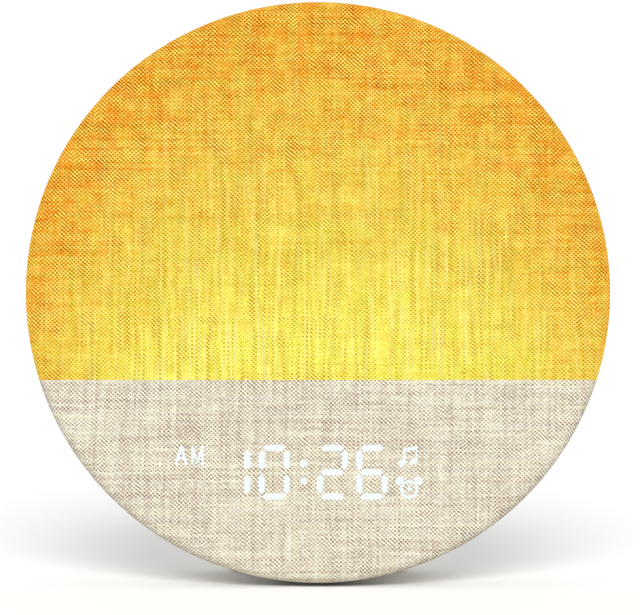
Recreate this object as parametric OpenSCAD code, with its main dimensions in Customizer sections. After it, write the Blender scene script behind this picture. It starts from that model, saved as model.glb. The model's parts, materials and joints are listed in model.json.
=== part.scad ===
// Round sunrise alarm clock: a linen face that glows above a horizon line, over a moulded rear drum.
// Lengths are in millimetres. X runs to the right, Y from the face to the back, Z up.
// The origin is the centre of the base pad's underside, on the table.

/* [Face] */
// Diameter of the round face
face_d = 186; // [180:1:198]
// Lean of the face backwards from upright, in degrees
face_lean = 6.5; // [5:0.5:8]
// Clearance between the lowest point of the rim and the table
rim_clearance = 1.2; // [0.8:0.1:2]
// Depth of the linen-covered front
cover_depth = 14; // [13:0.5:17]
// Radius between the face and its rim
edge_r = 3.5; // [3.3:0.1:5]
// How much the rim narrows from the face to its rear edge
rim_draw = 1.3; // [0.6:0.1:2]
// Thickness of the linen
linen_t = 0.9; // [0.6:0.1:1.1]
// Width of the hem that is folded in behind the frame
hem_w = 7; // [5:0.5:9]
// Height of the horizon line above the middle of the face
horizon_z = -29.2; // [-30.5:0.1:-26]

/* [Caps and frame] */
// Thickness of the opal cap and the opaque cap behind the linen
cap_t = 2.2; // [1.6:0.1:2.4]
// Wall of the front frame
frame_wall = 2.4; // [2:0.1:3]
// Width of the frame's flange behind its wall
flange_w = 5.8; // [5:0.1:7]
// Thickness of the frame's flange
flange_t = 2.5; // [2:0.1:3]
// Gap between pieces that are laid or pushed together
fit_gap = 0.15; // [0.1:0.01:0.2]
// Thickness of the shelf at the horizon
divider_t = 1.8; // [1.4:0.1:2.4]
// Thickness of the white light tray
tray_t = 1.5; // [1.2:0.1:1.8]
// Depth of the white light tray behind the frame
tray_depth = 9.5; // [8:0.5:10.5]
// Slope of the tray's side, as its inward reach
tray_slope = 11; // [9:0.5:13]

/* [Sunrise lamps] */
// Number of lamps
lamp_count = 12; // [8:1:12]
// Distance between lamps
lamp_pitch = 10; // [8:0.5:10.5]
// Side of one lamp
lamp_w = 3.5; // [2.8:0.1:4]
// Height of one lamp's case
lamp_h = 1.3; // [1:0.1:1.8]
// Width of the lamp board, from front to back
lamp_board_w = 10; // [8:0.5:10]
// Thickness of the circuit boards
board_t = 1.6; // [1.2:0.1:1.8]

/* [Display] */
// Height of a digit
digit_h = 17.5; // [16:0.1:18.5]
// Width of a digit
digit_w = 10.1; // [9:0.1:10.5]
// Distance from digit to digit
digit_pitch = 12.6; // [12.2:0.1:13]
// Extra distance for the colon
colon_room = 5.9; // [5:0.1:6.5]
// Width of a segment
segment_w = 2.1; // [1.6:0.1:2.3]
// Land between neighbouring segments
segment_land = 0.5; // [0.3:0.05:0.7]
// Middle of the digits below the middle of the face
display_drop = 58.5; // [57:0.05:59]
// Left edge of the first digit cell
first_digit_x = -31.6; // [-32.5:0.1:-30.5]
// Depth of the segment light box
light_box_depth = 9.3; // [8.5:0.1:9.6]

/* [Rear casing] */
// Depth of the clock from the face to the back, along its axis
casing_depth = 64; // [62:1:70]
// Wall of the rear casing
wall = 2.5; // [2:0.1:3]
// Step from the linen rim in to the casing
casing_step = 1.3; // [0.8:0.1:2]
// How much the casing's side narrows before its rounded back
casing_draw = 2.4; // [1.5:0.1:3.5]
// Radius between the side and the back
back_r = 24; // [20:0.5:25]
// Radius of the tubes that the casing screws pass through
screw_tube_r = 4.7; // [4.4:0.1:5.2]
// Direction of the casing screws above and below the level, in degrees
screw_angle = 38; // [36:1:40]

/* [Foot] */
// Width of the foot at its rear
foot_w = 58; // [54:1:64]
// Width of the foot at its front, which the round face hides
foot_front_w = 28; // [24:1:34]
// Length of the foot, from front to back
foot_l = 48; // [42:1:50]
// Corner radius of the foot
foot_corner_r = 9; // [6:0.5:12]
// Height of the foot's edge above the table
foot_lift = 1.2; // [0.8:0.1:1.6]
// Thickness of the rubber pad
pad_t = 2.4; // [2:0.1:2.8]
// Margin of the foot around the pad
pad_margin = 2.5; // [2:0.1:4]

/* [Keys] */
// Travel of the keys
key_travel = 0.7; // [0.4:0.05:0.75]
// Height of the keys above the casing
key_proud = 0.9; // [0.8:0.05:1.4]
// Gap around a key in its aperture
key_gap = 0.3; // [0.25:0.01:0.4]
// Width of the snooze key
snooze_w = 26; // [22:0.5:28]
// Width of the other top keys
top_key_w = 13; // [11:0.5:13.5]
// Length of the top keys, from front to back
top_key_l = 12; // [10:0.5:12.5]
// Casing left between neighbouring top keys
top_key_land = 4.5; // [3.5:0.1:5]
// Width of the rear keys
rear_key_w = 12; // [10:0.5:12.5]
// Height of the rear keys
rear_key_h = 7; // [6:0.1:8]
// Distance between rear keys
rear_key_pitch = 18; // [17.5:0.1:19]
// Thickness of the flange that holds a key inside the casing
key_flange_t = 1.3; // [1:0.1:1.5]
// Width of that flange around the key
key_flange_w = 0.8; // [0.6:0.05:0.9]

/* [Speaker] */
// Outer radius of the speaker
speaker_r = 25.5; // [24:0.1:26.5]
// Height of the speaker's middle above the middle of the face
speaker_z = 22; // [20:0.5:24]
// Depth of the speaker from its flange to its magnet's back
speaker_depth = 22; // [20:0.5:23]
// Radius of one hole in the grille
grille_hole_r = 1.1; // [0.8:0.05:1.2]
// Distance between holes in the grille
grille_pitch = 3.5; // [3.2:0.1:4.5]
// Thickness of the grille
grille_t = 1.2; // [1:0.1:1.3]

/* [Power and cell] */
// Radius of the centre pin of the power inlet
pin_r = 1; // [0.95:0.01:1.05]
// Radius of the inlet's socket
socket_r = 2.85; // [2.8:0.01:3]
// Length of the inlet's body
inlet_l = 13.8; // [12:0.1:14.5]
// Place of the inlet on the back, to the side
inlet_x = -28; // [-30:0.5:-24]
// Place of the inlet and the battery door on the back, in height
lower_row_z = -37.5; // [-39:0.5:-36.5]
// Radius of the coin cell
cell_r = 10; // [9.5:0.1:10.2]
// Thickness of the coin cell
cell_t = 3.2; // [2.5:0.1:3.4]
// Width of the battery door
door_w = 34; // [33.5:0.5:36]
// Height of the battery door
door_h = 22; // [22:0.5:23]
// Place of the battery door's middle, to the side
door_x = 19.5; // [18.5:0.5:20]

/* [Hidden] */
$fn = 64;

// Overrun of cutting tools past a face, and steps along an arc
cut = 1;
arc_steps = 12;
// Smallest corner that is left where a rounded shell is offset inwards
least_corner = 0.2;

// Face: radii, and how far each layer lies inside the linen's surface
face_r = face_d / 2;
cap_outer = linen_t + fit_gap;
cap_inner = cap_outer + cap_t;
frame_outer = cap_inner + fit_gap;
frame_inner_r = face_r - frame_outer - frame_wall - rim_draw;
flange_inner_r = frame_inner_r - flange_w + frame_wall;
hem_y = cover_depth - linen_t;
hem_inner_r = face_r - rim_draw - hem_w - linen_t;
cap_rear = hem_y - fit_gap;
flange_y = hem_y - flange_t;

// Stance: the lower of the rim's rounded front and its rear edge stands clear of the table
rim_front_drop = edge_r * (1 + sin(face_lean)) + (face_r - edge_r) * cos(face_lean);
rim_rear_drop = cover_depth * sin(face_lean) + (face_r - rim_draw) * cos(face_lean);
face_z = rim_clearance + max(rim_front_drop, rim_rear_drop);
foot_setback = 1.5;
rim_rear_y = cover_depth * cos(face_lean) - (face_r - rim_draw) * sin(face_lean);
face_y = -(foot_l / 2 + foot_setback + rim_rear_y);

// The horizon, the lamps and the display keep their share of the face, 186 wide in the layout
face_share = face_d / 186;
horizon = horizon_z * face_share;
lamp_step = lamp_pitch * face_share;
digit_tall = digit_h * face_share;
digit_wide = digit_w * face_share;
digit_step = digit_pitch * face_share;
bar_w = segment_w * face_share;

// Light chamber
tray_front = hem_y;
tray_rear = tray_front + tray_t + tray_depth;
tray_rim_r = flange_inner_r - 5.5;
tray_flange_r = flange_inner_r + 1;
lamp_board_l = (lamp_count - 1) * lamp_step + 14;
lamp_board_y = 8;
lamp_board_t = 1.2;

// Display: a cell for each digit, with the colon between the second and the third
display_z = -display_drop * face_share;
digit_x = [for (i = [0:3])
    face_share * (first_digit_x + (i > 1 ? colon_room : 0)) + digit_wide / 2 + i * digit_step];
colon_x = (digit_x[1] + digit_x[2]) / 2;
colon_dot_r = 1.2;
colon_spread = 2.8;
// Windows for AM or PM, the music sign and the alarm sign, each as x, z, width and height
half_day_offset = [-14.2, 5.6];
music_offset = [11.6, 5.4];
alarm_offset = [11.6, -4.6];
sign_windows = face_share * [
    concat([digit_x[0], display_z] / face_share + half_day_offset, [10.4, 7.2]),
    concat([digit_x[3], display_z] / face_share + music_offset, [7.6, 7.6]),
    concat([digit_x[3], display_z] / face_share + alarm_offset, [9.6, 8])
];
light_box_margin = 3.25;
signs_left = sign_windows[0][0] - sign_windows[0][2] / 2;
signs_right = sign_windows[2][0] + sign_windows[2][2] / 2;
light_box_w = signs_right - signs_left + 2 * light_box_margin;
light_box_h = digit_tall + 4.5;
light_box_x = (signs_left + signs_right) / 2;
light_box_y = cap_outer;
light_box_rear = light_box_y + light_box_depth;
segment_fill = 3.5;
well_gap = 0.05;
display_board_top = display_z + light_box_h / 2 + 6;
display_board_bottom = display_z - light_box_h / 2 + 0.8;
display_screw_z = display_z + light_box_h / 2 + 3;
display_screw_inset = 3.5;
display_screw_x = [for (s = [-1, 1]) light_box_x + s * (light_box_w / 2 - display_screw_inset)];
display_post_r = 2.4;

// Rear casing
casing_front_r = face_r - rim_draw - casing_step;
casing_side_r = casing_front_r - casing_draw;
bend_y = casing_depth - back_r;
bend_r = casing_side_r - back_r;
back_inner = casing_depth - wall;
casing_flange_t = 2.5;
screw_circle_r = flange_inner_r - 4;
screw_points = [for (s = [-1, 1], t = [-1, 1])
    screw_circle_r * [s * cos(screw_angle), t * sin(screw_angle)]];
frame_boss_r = 4;
frame_boss_end = hem_y + 11;
screw_shank_r = 1.45;
screw_hole_r = 1.5;
screw_head_r = 2.9;
screw_head_h = 2.2;
screw_well_r = 3.2;
screw_seat_y = frame_boss_end + 4;

// Foot and pad, in world coordinates
pad_l = foot_l - 2 * pad_margin;
foot_top = 24;

// Top keys: x of the middle of each key
near_key_x = snooze_w / 2 + top_key_land + top_key_w / 2;
far_key_x = near_key_x + top_key_w + top_key_land;
switch_w = 6;
switch_setback = 4.9;
top_key_y = tray_rear + switch_setback + switch_w / 2;
switch_h = 3.5;
plunger_r = 1.7;
plunger_h = 0.8;
key_stem_r = 1.9;
switch_gap = key_travel + 0.2;
key_corner_r = 2;
top_board_z = 2 / 3 * face_r;
top_board_y = tray_rear + 3;
top_board_rear = top_key_y + switch_w / 2 + 11;
top_board_w = 2 * far_key_x + top_key_w;
top_post_x = near_key_x + 6;
top_post_y = top_board_rear - 3.2;

// Rear keys
rear_key_z = speaker_z - speaker_r - 10;
rear_key_x = [for (i = [0:3]) (i - 1.5) * rear_key_pitch];
rear_board_h = 13;
rear_board_w = 3 * rear_key_pitch + rear_key_w + 4;
rear_board_face = back_inner - fit_gap * 2 - key_flange_t - 1.7 - switch_gap - plunger_h - switch_h;
rear_post_r = 1.8;
rear_post_x = rear_key_pitch;
small_screw_r = 0.9;
small_head_r = 1.7;
small_head_h = 1.1;
small_hole_r = 0.95;

// Speaker, measured from its own middle
speaker_flange_rear = back_inner - 1.2;
speaker_flange_t = 1;
speaker_front = speaker_flange_rear - speaker_depth;
ear_circle_r = speaker_r + 1.7;
ear_r = 3.2;
ear_hole_r = 1.1;
pole_plate_t = 2;
magnet_t = 5;
magnet_r = speaker_r - 10;
pole_r = 6;
coil_r = pole_r + 0.3;
coil_t = 0.4;
grille_r = speaker_r + 0.3;
grille_recess = grille_t + fit_gap;
grille_open_r = speaker_r - 3.5;

// Main board and what stands on it
main_board_rear = back_inner - fit_gap - inlet_l;
main_board_front = main_board_rear - board_t;
main_board_w = 88;
main_board_top = -25.5;
main_board_bottom = -64;
board_post_r = 3;
board_post_x = main_board_w / 2 - 3.5;
board_post_z = [main_board_top - 3.5, main_board_bottom + 3.5];
inlet_w = 11;
inlet_h = 11;
inlet_hole_r = 8.5;
inlet_flange_w = 1;
inlet_flange_t = 1.5;
pin_l = 9.5;
connector_d = 3.2;

// Cell, holder and door; the door's screw stands at its free end
cell_x = door_x - (door_w - door_h) / 2 + 0.8;
holder_w = 24;
holder_h = 20.8;
holder_rear = back_inner - 1.4;
door_t = 1.6;
door_lip = 1.3;
door_open_w = 22.6;
door_open_h = 18.4;
door_screw_x = door_x + door_w / 2 - 4.5;
door_boss_r = 3;
door_boss_l = 7;

// ---- Helpers ----

// Puts a piece into the leaning face's frame: Y is the depth behind the face, the origin its middle
module in_face() translate([0, face_y, face_z]) rotate([-face_lean, 0, 0]) children();

// Turns a profile of radius and depth about the face's axis
module turned() rotate([-90, 0, 0]) rotate_extrude() children();

// Lays a flat outline in X and Z at a depth, with its thickness towards the back
module laid(y, t) translate([0, y + t, 0]) rotate([90, 0, 0]) linear_extrude(t) children();

// A round rod along the face's axis
module rod(x, z, r, y0, y1) translate([x, y0, z]) rotate([-90, 0, 0]) cylinder(r = r, h = y1 - y0);

function arc(c, r, a0, a1, n = arc_steps) =
    [for (i = [0:n]) let (a = a0 + (a1 - a0) * i / n) c + r * [cos(a), sin(a)]];
function backwards(p) = [for (i = [len(p) - 1:-1:0]) p[i]];

// A rectangle with rounded corners, about its middle
function rounded(w, h, r, n = 6) = concat(
    arc([w / 2 - r, h / 2 - r], r, 0, 90, n), arc([r - w / 2, h / 2 - r], r, 90, 180, n),
    arc([r - w / 2, r - h / 2], r, 180, 270, n), arc([w / 2 - r, r - h / 2], r, 270, 360, n));
module rounded_plate(w, h, r) polygon(rounded(w, h, r));

// The face's shell, moved inwards by a distance: from the axis over the edge to a depth
function rim_r(inset, y) =
    face_r - inset - rim_draw * max(0, y - edge_r) / (cover_depth - edge_r);
function corner(inset) = max(edge_r - inset, least_corner);
function shell(inset, y) = concat(
    [[0, inset]],
    arc([face_r - inset - corner(inset), inset + corner(inset)], corner(inset), -90, 0, 8),
    [[rim_r(inset, y), y]]);

// The rear casing's outline, moved inwards by a distance, from the axis round to the axis
function casing(inset, front) = concat(
    [[0, front], [casing_front_r - inset, front]],
    arc([bend_r, bend_y], back_r - inset, 0, 90, 16),
    [[0, casing_depth - inset]]);
module casing_solid(inset, front = cover_depth) turned() polygon(casing(inset, front));

// Everything above or below a height in the face's frame
module above(z) translate([-face_d, -cut, z]) cube([2 * face_d, 2 * casing_depth, 2 * face_d]);
module below(z) translate([-face_d, -cut, z - 2 * face_d]) cube([2 * face_d, 2 * casing_depth, 2 * face_d]);

// A smooth line through hand-placed points
function smooth(p, steps = 4) = concat(
    [for (i = [0:len(p) - 2], s = [0:steps - 1])
        let (a = p[max(i - 1, 0)], b = p[i], c = p[i + 1], d = p[min(i + 2, len(p) - 1)], t = s / steps)
        0.5 * (2 * b + (c - a) * t + (2 * a - 5 * b + 4 * c - d) * t * t
            + (3 * b - a - 3 * c + d) * t * t * t)],
    [p[len(p) - 1]]);
function unit(v) = v / norm(v);

// A round wire swept along points, with flat ends
module wire(points, r, sides = 8, side = [1, 0.02, 0.03]) {
    last = len(points) - 1;
    rings = [for (i = [0:last])
        let (t = unit(points[min(i + 1, last)] - points[max(i - 1, 0)]), u = unit(cross(t, side)),
            v = cross(t, u))
        for (k = [0:sides - 1]) points[i] + r * (cos(360 * k / sides) * u + sin(360 * k / sides) * v)];
    tube = [for (i = [0:last - 1], k = [0:sides - 1])
        [i * sides + k, i * sides + (k + 1) % sides, (i + 1) * sides + (k + 1) % sides,
            (i + 1) * sides + k]];
    ends = [[for (k = [sides - 1:-1:0]) k], [for (k = [0:sides - 1]) last * sides + k]];
    polyhedron(rings, concat(tube, ends));
}

// A cheese-head screw along the face's axis, head at y, shank towards the face
module screw(x, z, y, head_r, head_h, shank_r, shank_l) {
    difference() {
        rod(x, z, head_r, y, y + head_h);
        translate([x, y + head_h / 2, z]) translate([-0.35, 0, -head_r]) cube([0.7, head_h, 2 * head_r]);
    }
    rod(x, z, shank_r, y - shank_l, y + head_h / 4);
}

// ---- Linen, caps and frame ----

module fabric_cover() color("#dcd3bd") in_face() turned() polygon(concat(
    shell(0, cover_depth),
    [[hem_inner_r, cover_depth], [hem_inner_r, hem_y]],
    backwards(shell(linen_t, hem_y))));

module cap() turned() polygon(concat(shell(cap_outer, cap_rear), backwards(shell(cap_inner, cap_rear))));

module light_diffuser() color("#fff6dc") in_face() intersection() {
    cap();
    above(horizon + fit_gap);
}

// The opaque cap, with the display's window and the posts of the display board
module display_mask() color("#3b3a38") in_face() difference() {
    union() {
        intersection() {
            cap();
            below(horizon - fit_gap);
        }
        for (x = display_screw_x)
            rod(x, display_screw_z, display_post_r, cap_inner - fit_gap, light_box_rear);
    }
    laid(-cut, cap_inner + 2 * cut) translate([light_box_x, display_z])
        square([light_box_w + 2 * fit_gap, light_box_h + 2 * fit_gap], center = true);
    for (x = display_screw_x)
        rod(x, display_screw_z, small_hole_r, cap_inner, light_box_rear + cut);
}

// The ring that the linen is stretched over, with a flange behind it and the screw bosses
module front_frame() color("#e9e6df") in_face() difference() {
    union() {
        difference() {
            turned() polygon(concat(shell(frame_outer, hem_y), [[0, hem_y]]));
            rod(0, 0, frame_inner_r, 0, flange_y);
            rod(0, 0, flange_inner_r, 0, hem_y + cut);
        }
        for (p = screw_points) {
            rod(p[0], p[1], frame_boss_r + 3, flange_y, hem_y);
            rod(p[0], p[1], frame_boss_r, flange_y, frame_boss_end);
        }
    }
    for (p = screw_points)
        rod(p[0], p[1], screw_hole_r, flange_y + 1, frame_boss_end + cut);
    translate([light_box_x - light_box_w / 2 - 2, flange_y - cut, display_board_bottom - 2])
        cube([light_box_w + 4, flange_t + 2 * cut, display_board_top - display_board_bottom + 4]);
}

// ---- Light chamber ----

// The shelf at the horizon: wide inside the frame's wall, narrower inside its flange
module light_divider() color("#f7f5ef") in_face() difference() {
    intersection() {
        translate([-face_r, 0, horizon - divider_t]) cube([face_d, casing_depth, divider_t]);
        union() {
            rod(0, 0, frame_inner_r - fit_gap, frame_outer, flange_y - fit_gap);
            rod(0, 0, flange_inner_r - fit_gap, frame_outer, tray_rear);
        }
    }
    translate([lead_hole_x, lamp_board_y + lamp_board_w / 2, horizon - divider_t - cut])
        cylinder(r = lead_hole_r, h = divider_t + 2 * cut);
}
lead_hole_x = lamp_board_l / 2 - 4;
lead_hole_r = 1.6;

// The white tray that throws the lamps' light forwards, notched round the frame's bosses
module light_reflector() color("#fbfaf6") in_face() intersection() {
    difference() {
        turned() polygon([
            [tray_rim_r - tray_t, tray_front], [tray_flange_r, tray_front],
            [tray_flange_r, tray_front + tray_t], [tray_rim_r, tray_front + tray_t],
            [tray_rim_r - tray_slope, tray_rear], [0, tray_rear],
            [0, tray_rear - tray_t], [tray_rim_r - tray_slope - 0.8 * tray_t, tray_rear - tray_t]]);
        for (p = screw_points) rod(p[0], p[1], frame_boss_r + 0.5, 0, tray_rear);
    }
    above(horizon + fit_gap);
}

module sunrise_led_board() color("#e8efe9") in_face()
    translate([-lamp_board_l / 2, lamp_board_y, horizon])
        cube([lamp_board_l, lamp_board_w, lamp_board_t]);

// A row of lamps that shine up behind the linen: a square case with a low round lens on it
module sunrise_leds() color("#ffe9a8") in_face()
    for (i = [0:lamp_count - 1])
        translate([(i - (lamp_count - 1) / 2) * lamp_step, lamp_board_y + lamp_board_w / 2,
            horizon + lamp_board_t]) {
            translate([-lamp_w / 2, -lamp_w / 2, 0]) cube([lamp_w, lamp_w, lamp_h]);
            translate([0, 0, lamp_h / 2]) cylinder(r = 0.4 * lamp_w, h = lamp_h / 2 + 0.5);
        }

// ---- Display ----

// One bar of a digit with pointed ends, of a length from point to point
function bar(length, w) = let (a = length / 2, b = w / 2)
    [[-a, 0], [b - a, b], [a - b, b], [a, 0], [a - b, -b], [b - a, -b]];

// The seven bars of a digit, drawn narrower all round by a gap
module digit(gap = 0) {
    w = bar_w - 2 * gap;
    across = digit_wide - bar_w - 2 * segment_land / sqrt(2) - 2 * gap;
    up = (digit_tall - bar_w) / 2 - 2 * segment_land / sqrt(2) - 2 * gap;
    for (k = [-1:1]) translate([0, k * (digit_tall - bar_w) / 2]) polygon(bar(across, w));
    for (s = [-1, 1], k = [-1, 1])
        translate([s * (digit_wide - bar_w) / 2, k * (digit_tall - bar_w) / 4])
            rotate(90) polygon(bar(up, w));
}

// Everything that can light up on the display
module lit_shapes(gap = 0) {
    for (x = digit_x) translate([x, display_z]) digit(gap);
    for (s = [-1, 1]) translate([colon_x, display_z + s * colon_spread]) circle(r = colon_dot_r - gap);
    for (w = sign_windows) translate([w[0], w[1]]) square([w[2] - 2 * gap, w[3] - 2 * gap], center = true);
}

module display_housing() color("#f2f1ec") in_face() difference() {
    laid(light_box_y, light_box_depth) translate([light_box_x, display_z])
        square([light_box_w, light_box_h], center = true);
    laid(light_box_y - cut, light_box_depth + 2 * cut) lit_shapes();
}

module display_segments() color("#fbfdff") in_face() laid(light_box_y, segment_fill) lit_shapes(well_gap);

module display_board() color("#2f5d43") in_face() difference() {
    laid(light_box_rear, board_t) translate([light_box_x - light_box_w / 2, display_board_bottom])
        square([light_box_w, display_board_top - display_board_bottom]);
    for (x = display_screw_x) rod(x, display_screw_z, small_hole_r + 0.2, 0, casing_depth);
}

// One small lamp at the bottom of each well
module display_leds() color("#fff4cf") in_face() {
    chip = 1.3;
    for (x = digit_x) {
        for (k = [-1:1]) lamp_chip(x, display_z + k * (digit_tall - bar_w) / 2, chip);
        for (s = [-1, 1], k = [-1, 1])
            lamp_chip(x + s * (digit_wide - bar_w) / 2, display_z + k * (digit_tall - bar_w) / 4, chip);
    }
    for (s = [-1, 1]) lamp_chip(colon_x, display_z + s * colon_spread, chip);
    for (w = sign_windows) lamp_chip(w[0], w[1], 2 * chip);
}
module lamp_chip(x, z, side) translate([x - side / 2, light_box_rear - 0.8, z - side / 2])
    cube([side, 0.8, side]);

module display_screws() color("#b9bcc0") in_face()
    for (x = display_screw_x)
        screw(x, display_screw_z, light_box_rear + board_t, small_head_r, small_head_h, small_screw_r, 6);

// ---- Rear casing and foot ----

// The foot's rounded outline, narrower at the front, moved inwards by a distance
function foot_plan(inset) =
    let (r = foot_corner_r - inset, y = foot_l / 2 - foot_corner_r,
         front = foot_front_w / 2 - foot_corner_r, rear = foot_w / 2 - foot_corner_r,
         slope = atan((rear - front) / (2 * y)))
    concat(arc([front, -y], r, -90, -slope, 6), arc([rear, y], r, -slope, 90, 6),
           arc([-rear, y], r, 90, 180 + slope, 6), arc([-front, -y], r, 180 + slope, 270, 6));

// The moulded drum: rounded back, foot, inner flange, screw tubes, posts, seats and apertures
module rear_casing() color("#efece6") difference() {
    union() {
        in_face() difference() {
            casing_solid(0);
            casing_solid(wall, cover_depth - cut);
        }
        difference() {
            translate([0, 0, foot_lift]) linear_extrude(foot_top) polygon(foot_plan(0));
            in_face() casing_solid(wall / 2, -cut);
            in_face() rod(0, 0, face_r, -casing_depth, cover_depth);
        }
        in_face() {
            intersection() {
                union() {
                    for (p = screw_points)
                        rod(p[0], p[1], screw_tube_r, frame_boss_end + fit_gap, casing_depth);
                    for (x = [-board_post_x, board_post_x], z = board_post_z)
                        rod(x, z, board_post_r, main_board_rear, casing_depth);
                    for (x = [-rear_post_x, rear_post_x])
                        rod(x, rear_key_z, rear_post_r, rear_board_face, casing_depth);
                    rod(door_screw_x, lower_row_z, door_boss_r, back_inner - door_boss_l, casing_depth);
                    for (a = [45:90:315]) translate([0, 0, speaker_z])
                        rod(ear_circle_r * cos(a), ear_circle_r * sin(a), ear_r,
                            speaker_flange_rear + fit_gap, casing_depth);
                    for (x = [-top_post_x, top_post_x])
                        translate([x, top_post_y, top_board_z]) cylinder(r = 2.5, h = face_r);
                }
                casing_solid(wall / 2);
            }
            difference() {
                rod(0, 0, casing_front_r - wall / 2, cover_depth, cover_depth + casing_flange_t);
                rod(0, 0, hem_inner_r, 0, casing_depth);
            }
        }
    }
    translate([0, 0, foot_lift - cut]) linear_extrude(pad_t - foot_lift + cut)
        polygon(foot_plan(pad_margin - fit_gap));
    in_face() casing_holes();
}

module casing_holes() {
    for (p = screw_points) {
        rod(p[0], p[1], screw_hole_r + 0.2, cover_depth, casing_depth);
        rod(p[0], p[1], screw_well_r, screw_seat_y, casing_depth);
    }
    for (x = [-board_post_x, board_post_x], z = board_post_z)
        rod(x, z, small_hole_r, main_board_rear - cut, main_board_rear + 8);
    for (x = [-rear_post_x, rear_post_x])
        rod(x, rear_key_z, small_hole_r, rear_board_face - cut, rear_board_face + 6);
    for (x = [-top_post_x, top_post_x])
        translate([x, top_post_y, top_board_z - cut]) cylinder(r = small_hole_r, h = 6 + cut);
    translate([0, 0, speaker_z]) {
        for (a = [45:90:315])
            rod(ear_circle_r * cos(a), ear_circle_r * sin(a), ear_hole_r, 0, back_inner + 1);
        rod(0, 0, grille_open_r, 0, casing_depth + cut);
        rod(0, 0, grille_r + fit_gap, casing_depth - grille_recess, casing_depth + cut);
    }
    for (k = [0:4]) top_key_prism(top_key_x[k], top_key_widths[k], top_key_l, key_gap, face_r);
    laid(0, casing_depth + cut) for (x = rear_key_x) translate([x, rear_key_z])
        rounded_plate(rear_key_w + 2 * key_gap, rear_key_h + 2 * key_gap, key_corner_r + key_gap);
    rod(inlet_x, lower_row_z, inlet_hole_r, back_inner - fit_gap, casing_depth + cut);
    rod(door_screw_x, lower_row_z, small_hole_r, back_inner - door_boss_l + 1, casing_depth);
    laid(casing_depth - door_t, door_t + cut) translate([door_x, lower_row_z])
        rounded_plate(door_w + 2 * fit_gap, door_h + 2 * fit_gap, key_corner_r + fit_gap);
    laid(back_inner - cut, wall) translate([cell_x, lower_row_z])
        square([door_open_w, door_open_h], center = true);
}

module casing_screws() color("#8f9296") in_face() for (p = screw_points)
    screw(p[0], p[1], screw_seat_y, screw_head_r, screw_head_h, screw_shank_r, screw_seat_y - hem_y);

module base_pad() color("#4a4a4c") difference() {
    linear_extrude(pad_t) polygon(foot_plan(pad_margin));
    intersection() {
        translate([0, 0, -cut]) linear_extrude(cut + 0.4) polygon(foot_plan(2 * pad_margin));
        for (k = [-2.5:2.5]) translate([-foot_w / 2, k * pad_l / 7 - 0.5, -cut])
            cube([foot_w, 1, cut + 0.4]);
    }
}

// ---- Speaker ----

module at_speaker() in_face() translate([0, 0, speaker_z]) children();

module speaker_grille() color("#d9d6cf") at_speaker() difference() {
    rod(0, 0, grille_r, casing_depth - grille_t, casing_depth);
    reach = ceil(grille_open_r / grille_pitch) + 1;
    for (i = [-reach:reach], j = [-reach:reach])
        let (x = (i + j / 2) * grille_pitch, z = j * grille_pitch * sin(60))
            if (norm([x, z]) + grille_hole_r < grille_open_r - 0.5)
                rod(x, z, grille_hole_r, casing_depth - grille_t - cut, casing_depth + cut);
}

// The foam ring between the basket and the casing, notched round the ears' bosses
module speaker_gasket() color("#3f4043") at_speaker() difference() {
    rod(0, 0, speaker_r - 0.2, speaker_flange_rear + surround_t, back_inner);
    rod(0, 0, grille_open_r + 0.5, 0, casing_depth);
    for (a = [45:90:315])
        rod(ear_circle_r * cos(a), ear_circle_r * sin(a), ear_r + 2 * fit_gap, 0, casing_depth);
}

// The pressed basket: a flange with four ears, a windowed cone and the seat of the pole plate
module speaker_frame() color("#6d7076") at_speaker() difference() {
    union() {
        laid(speaker_flange_rear - speaker_flange_t, speaker_flange_t) {
            circle(r = speaker_r);
            for (a = [45:90:315]) translate(ear_circle_r * [cos(a), sin(a)]) circle(r = ear_r);
        }
        turned() polygon([
            [speaker_r - 4, speaker_flange_rear - speaker_flange_t],
            [speaker_r - 3, speaker_flange_rear - speaker_flange_t],
            [magnet_r - 1, basket_seat + 1], [magnet_r - 1, basket_seat],
            [pole_r + 2, basket_seat], [pole_r + 2, basket_seat + 1], [magnet_r - 2, basket_seat + 1]]);
    }
    rod(0, 0, speaker_r - 4, speaker_flange_rear - speaker_flange_t - cut / 2, casing_depth);
    for (a = [45:90:315])
        rod(ear_circle_r * cos(a), ear_circle_r * sin(a), ear_hole_r + 0.2, 0, casing_depth);
    for (a = [0:90:270]) rotate([0, a, 0])
        translate([magnet_r, basket_seat + 3, -5]) cube([speaker_r, 5, 10]);
}
basket_seat = speaker_front + 2 * pole_plate_t + magnet_t;

module speaker_surround() color("#2c2d30") at_speaker() turned() polygon(concat(
    [[surround_r, surround_y], [surround_r, surround_y + surround_t]],
    arc([roll_r, surround_y + surround_t / 2], roll_w, 0, 180, 10),
    [[roll_r - roll_w - 0.8, surround_y + surround_t], [roll_r - roll_w - 0.8, surround_y]],
    backwards(arc([roll_r, surround_y], roll_w - surround_t, 0, 180, 10))));
surround_t = 0.4;
surround_r = ear_circle_r - ear_r - 2 * fit_gap;
surround_y = speaker_flange_rear;
roll_w = 1.7;
roll_r = grille_open_r - 1.7;

// The paper cone, from the surround down to the voice coil
module speaker_cone() color("#3a3733") at_speaker() turned() polygon([
    [cone_neck_r, cone_neck], [cone_neck_r + 0.6, cone_neck],
    [cone_edge_r + 0.4, cone_edge - 0.5], [cone_edge_r + 0.8, cone_edge - 0.5],
    [cone_edge_r + 0.8, cone_edge], [cone_edge_r, cone_edge]]);
cone_neck = basket_seat + 4;
cone_neck_r = coil_r + coil_t + well_gap;
cone_edge = surround_y - 0.1;
cone_edge_r = roll_r - roll_w - 0.6;

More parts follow.
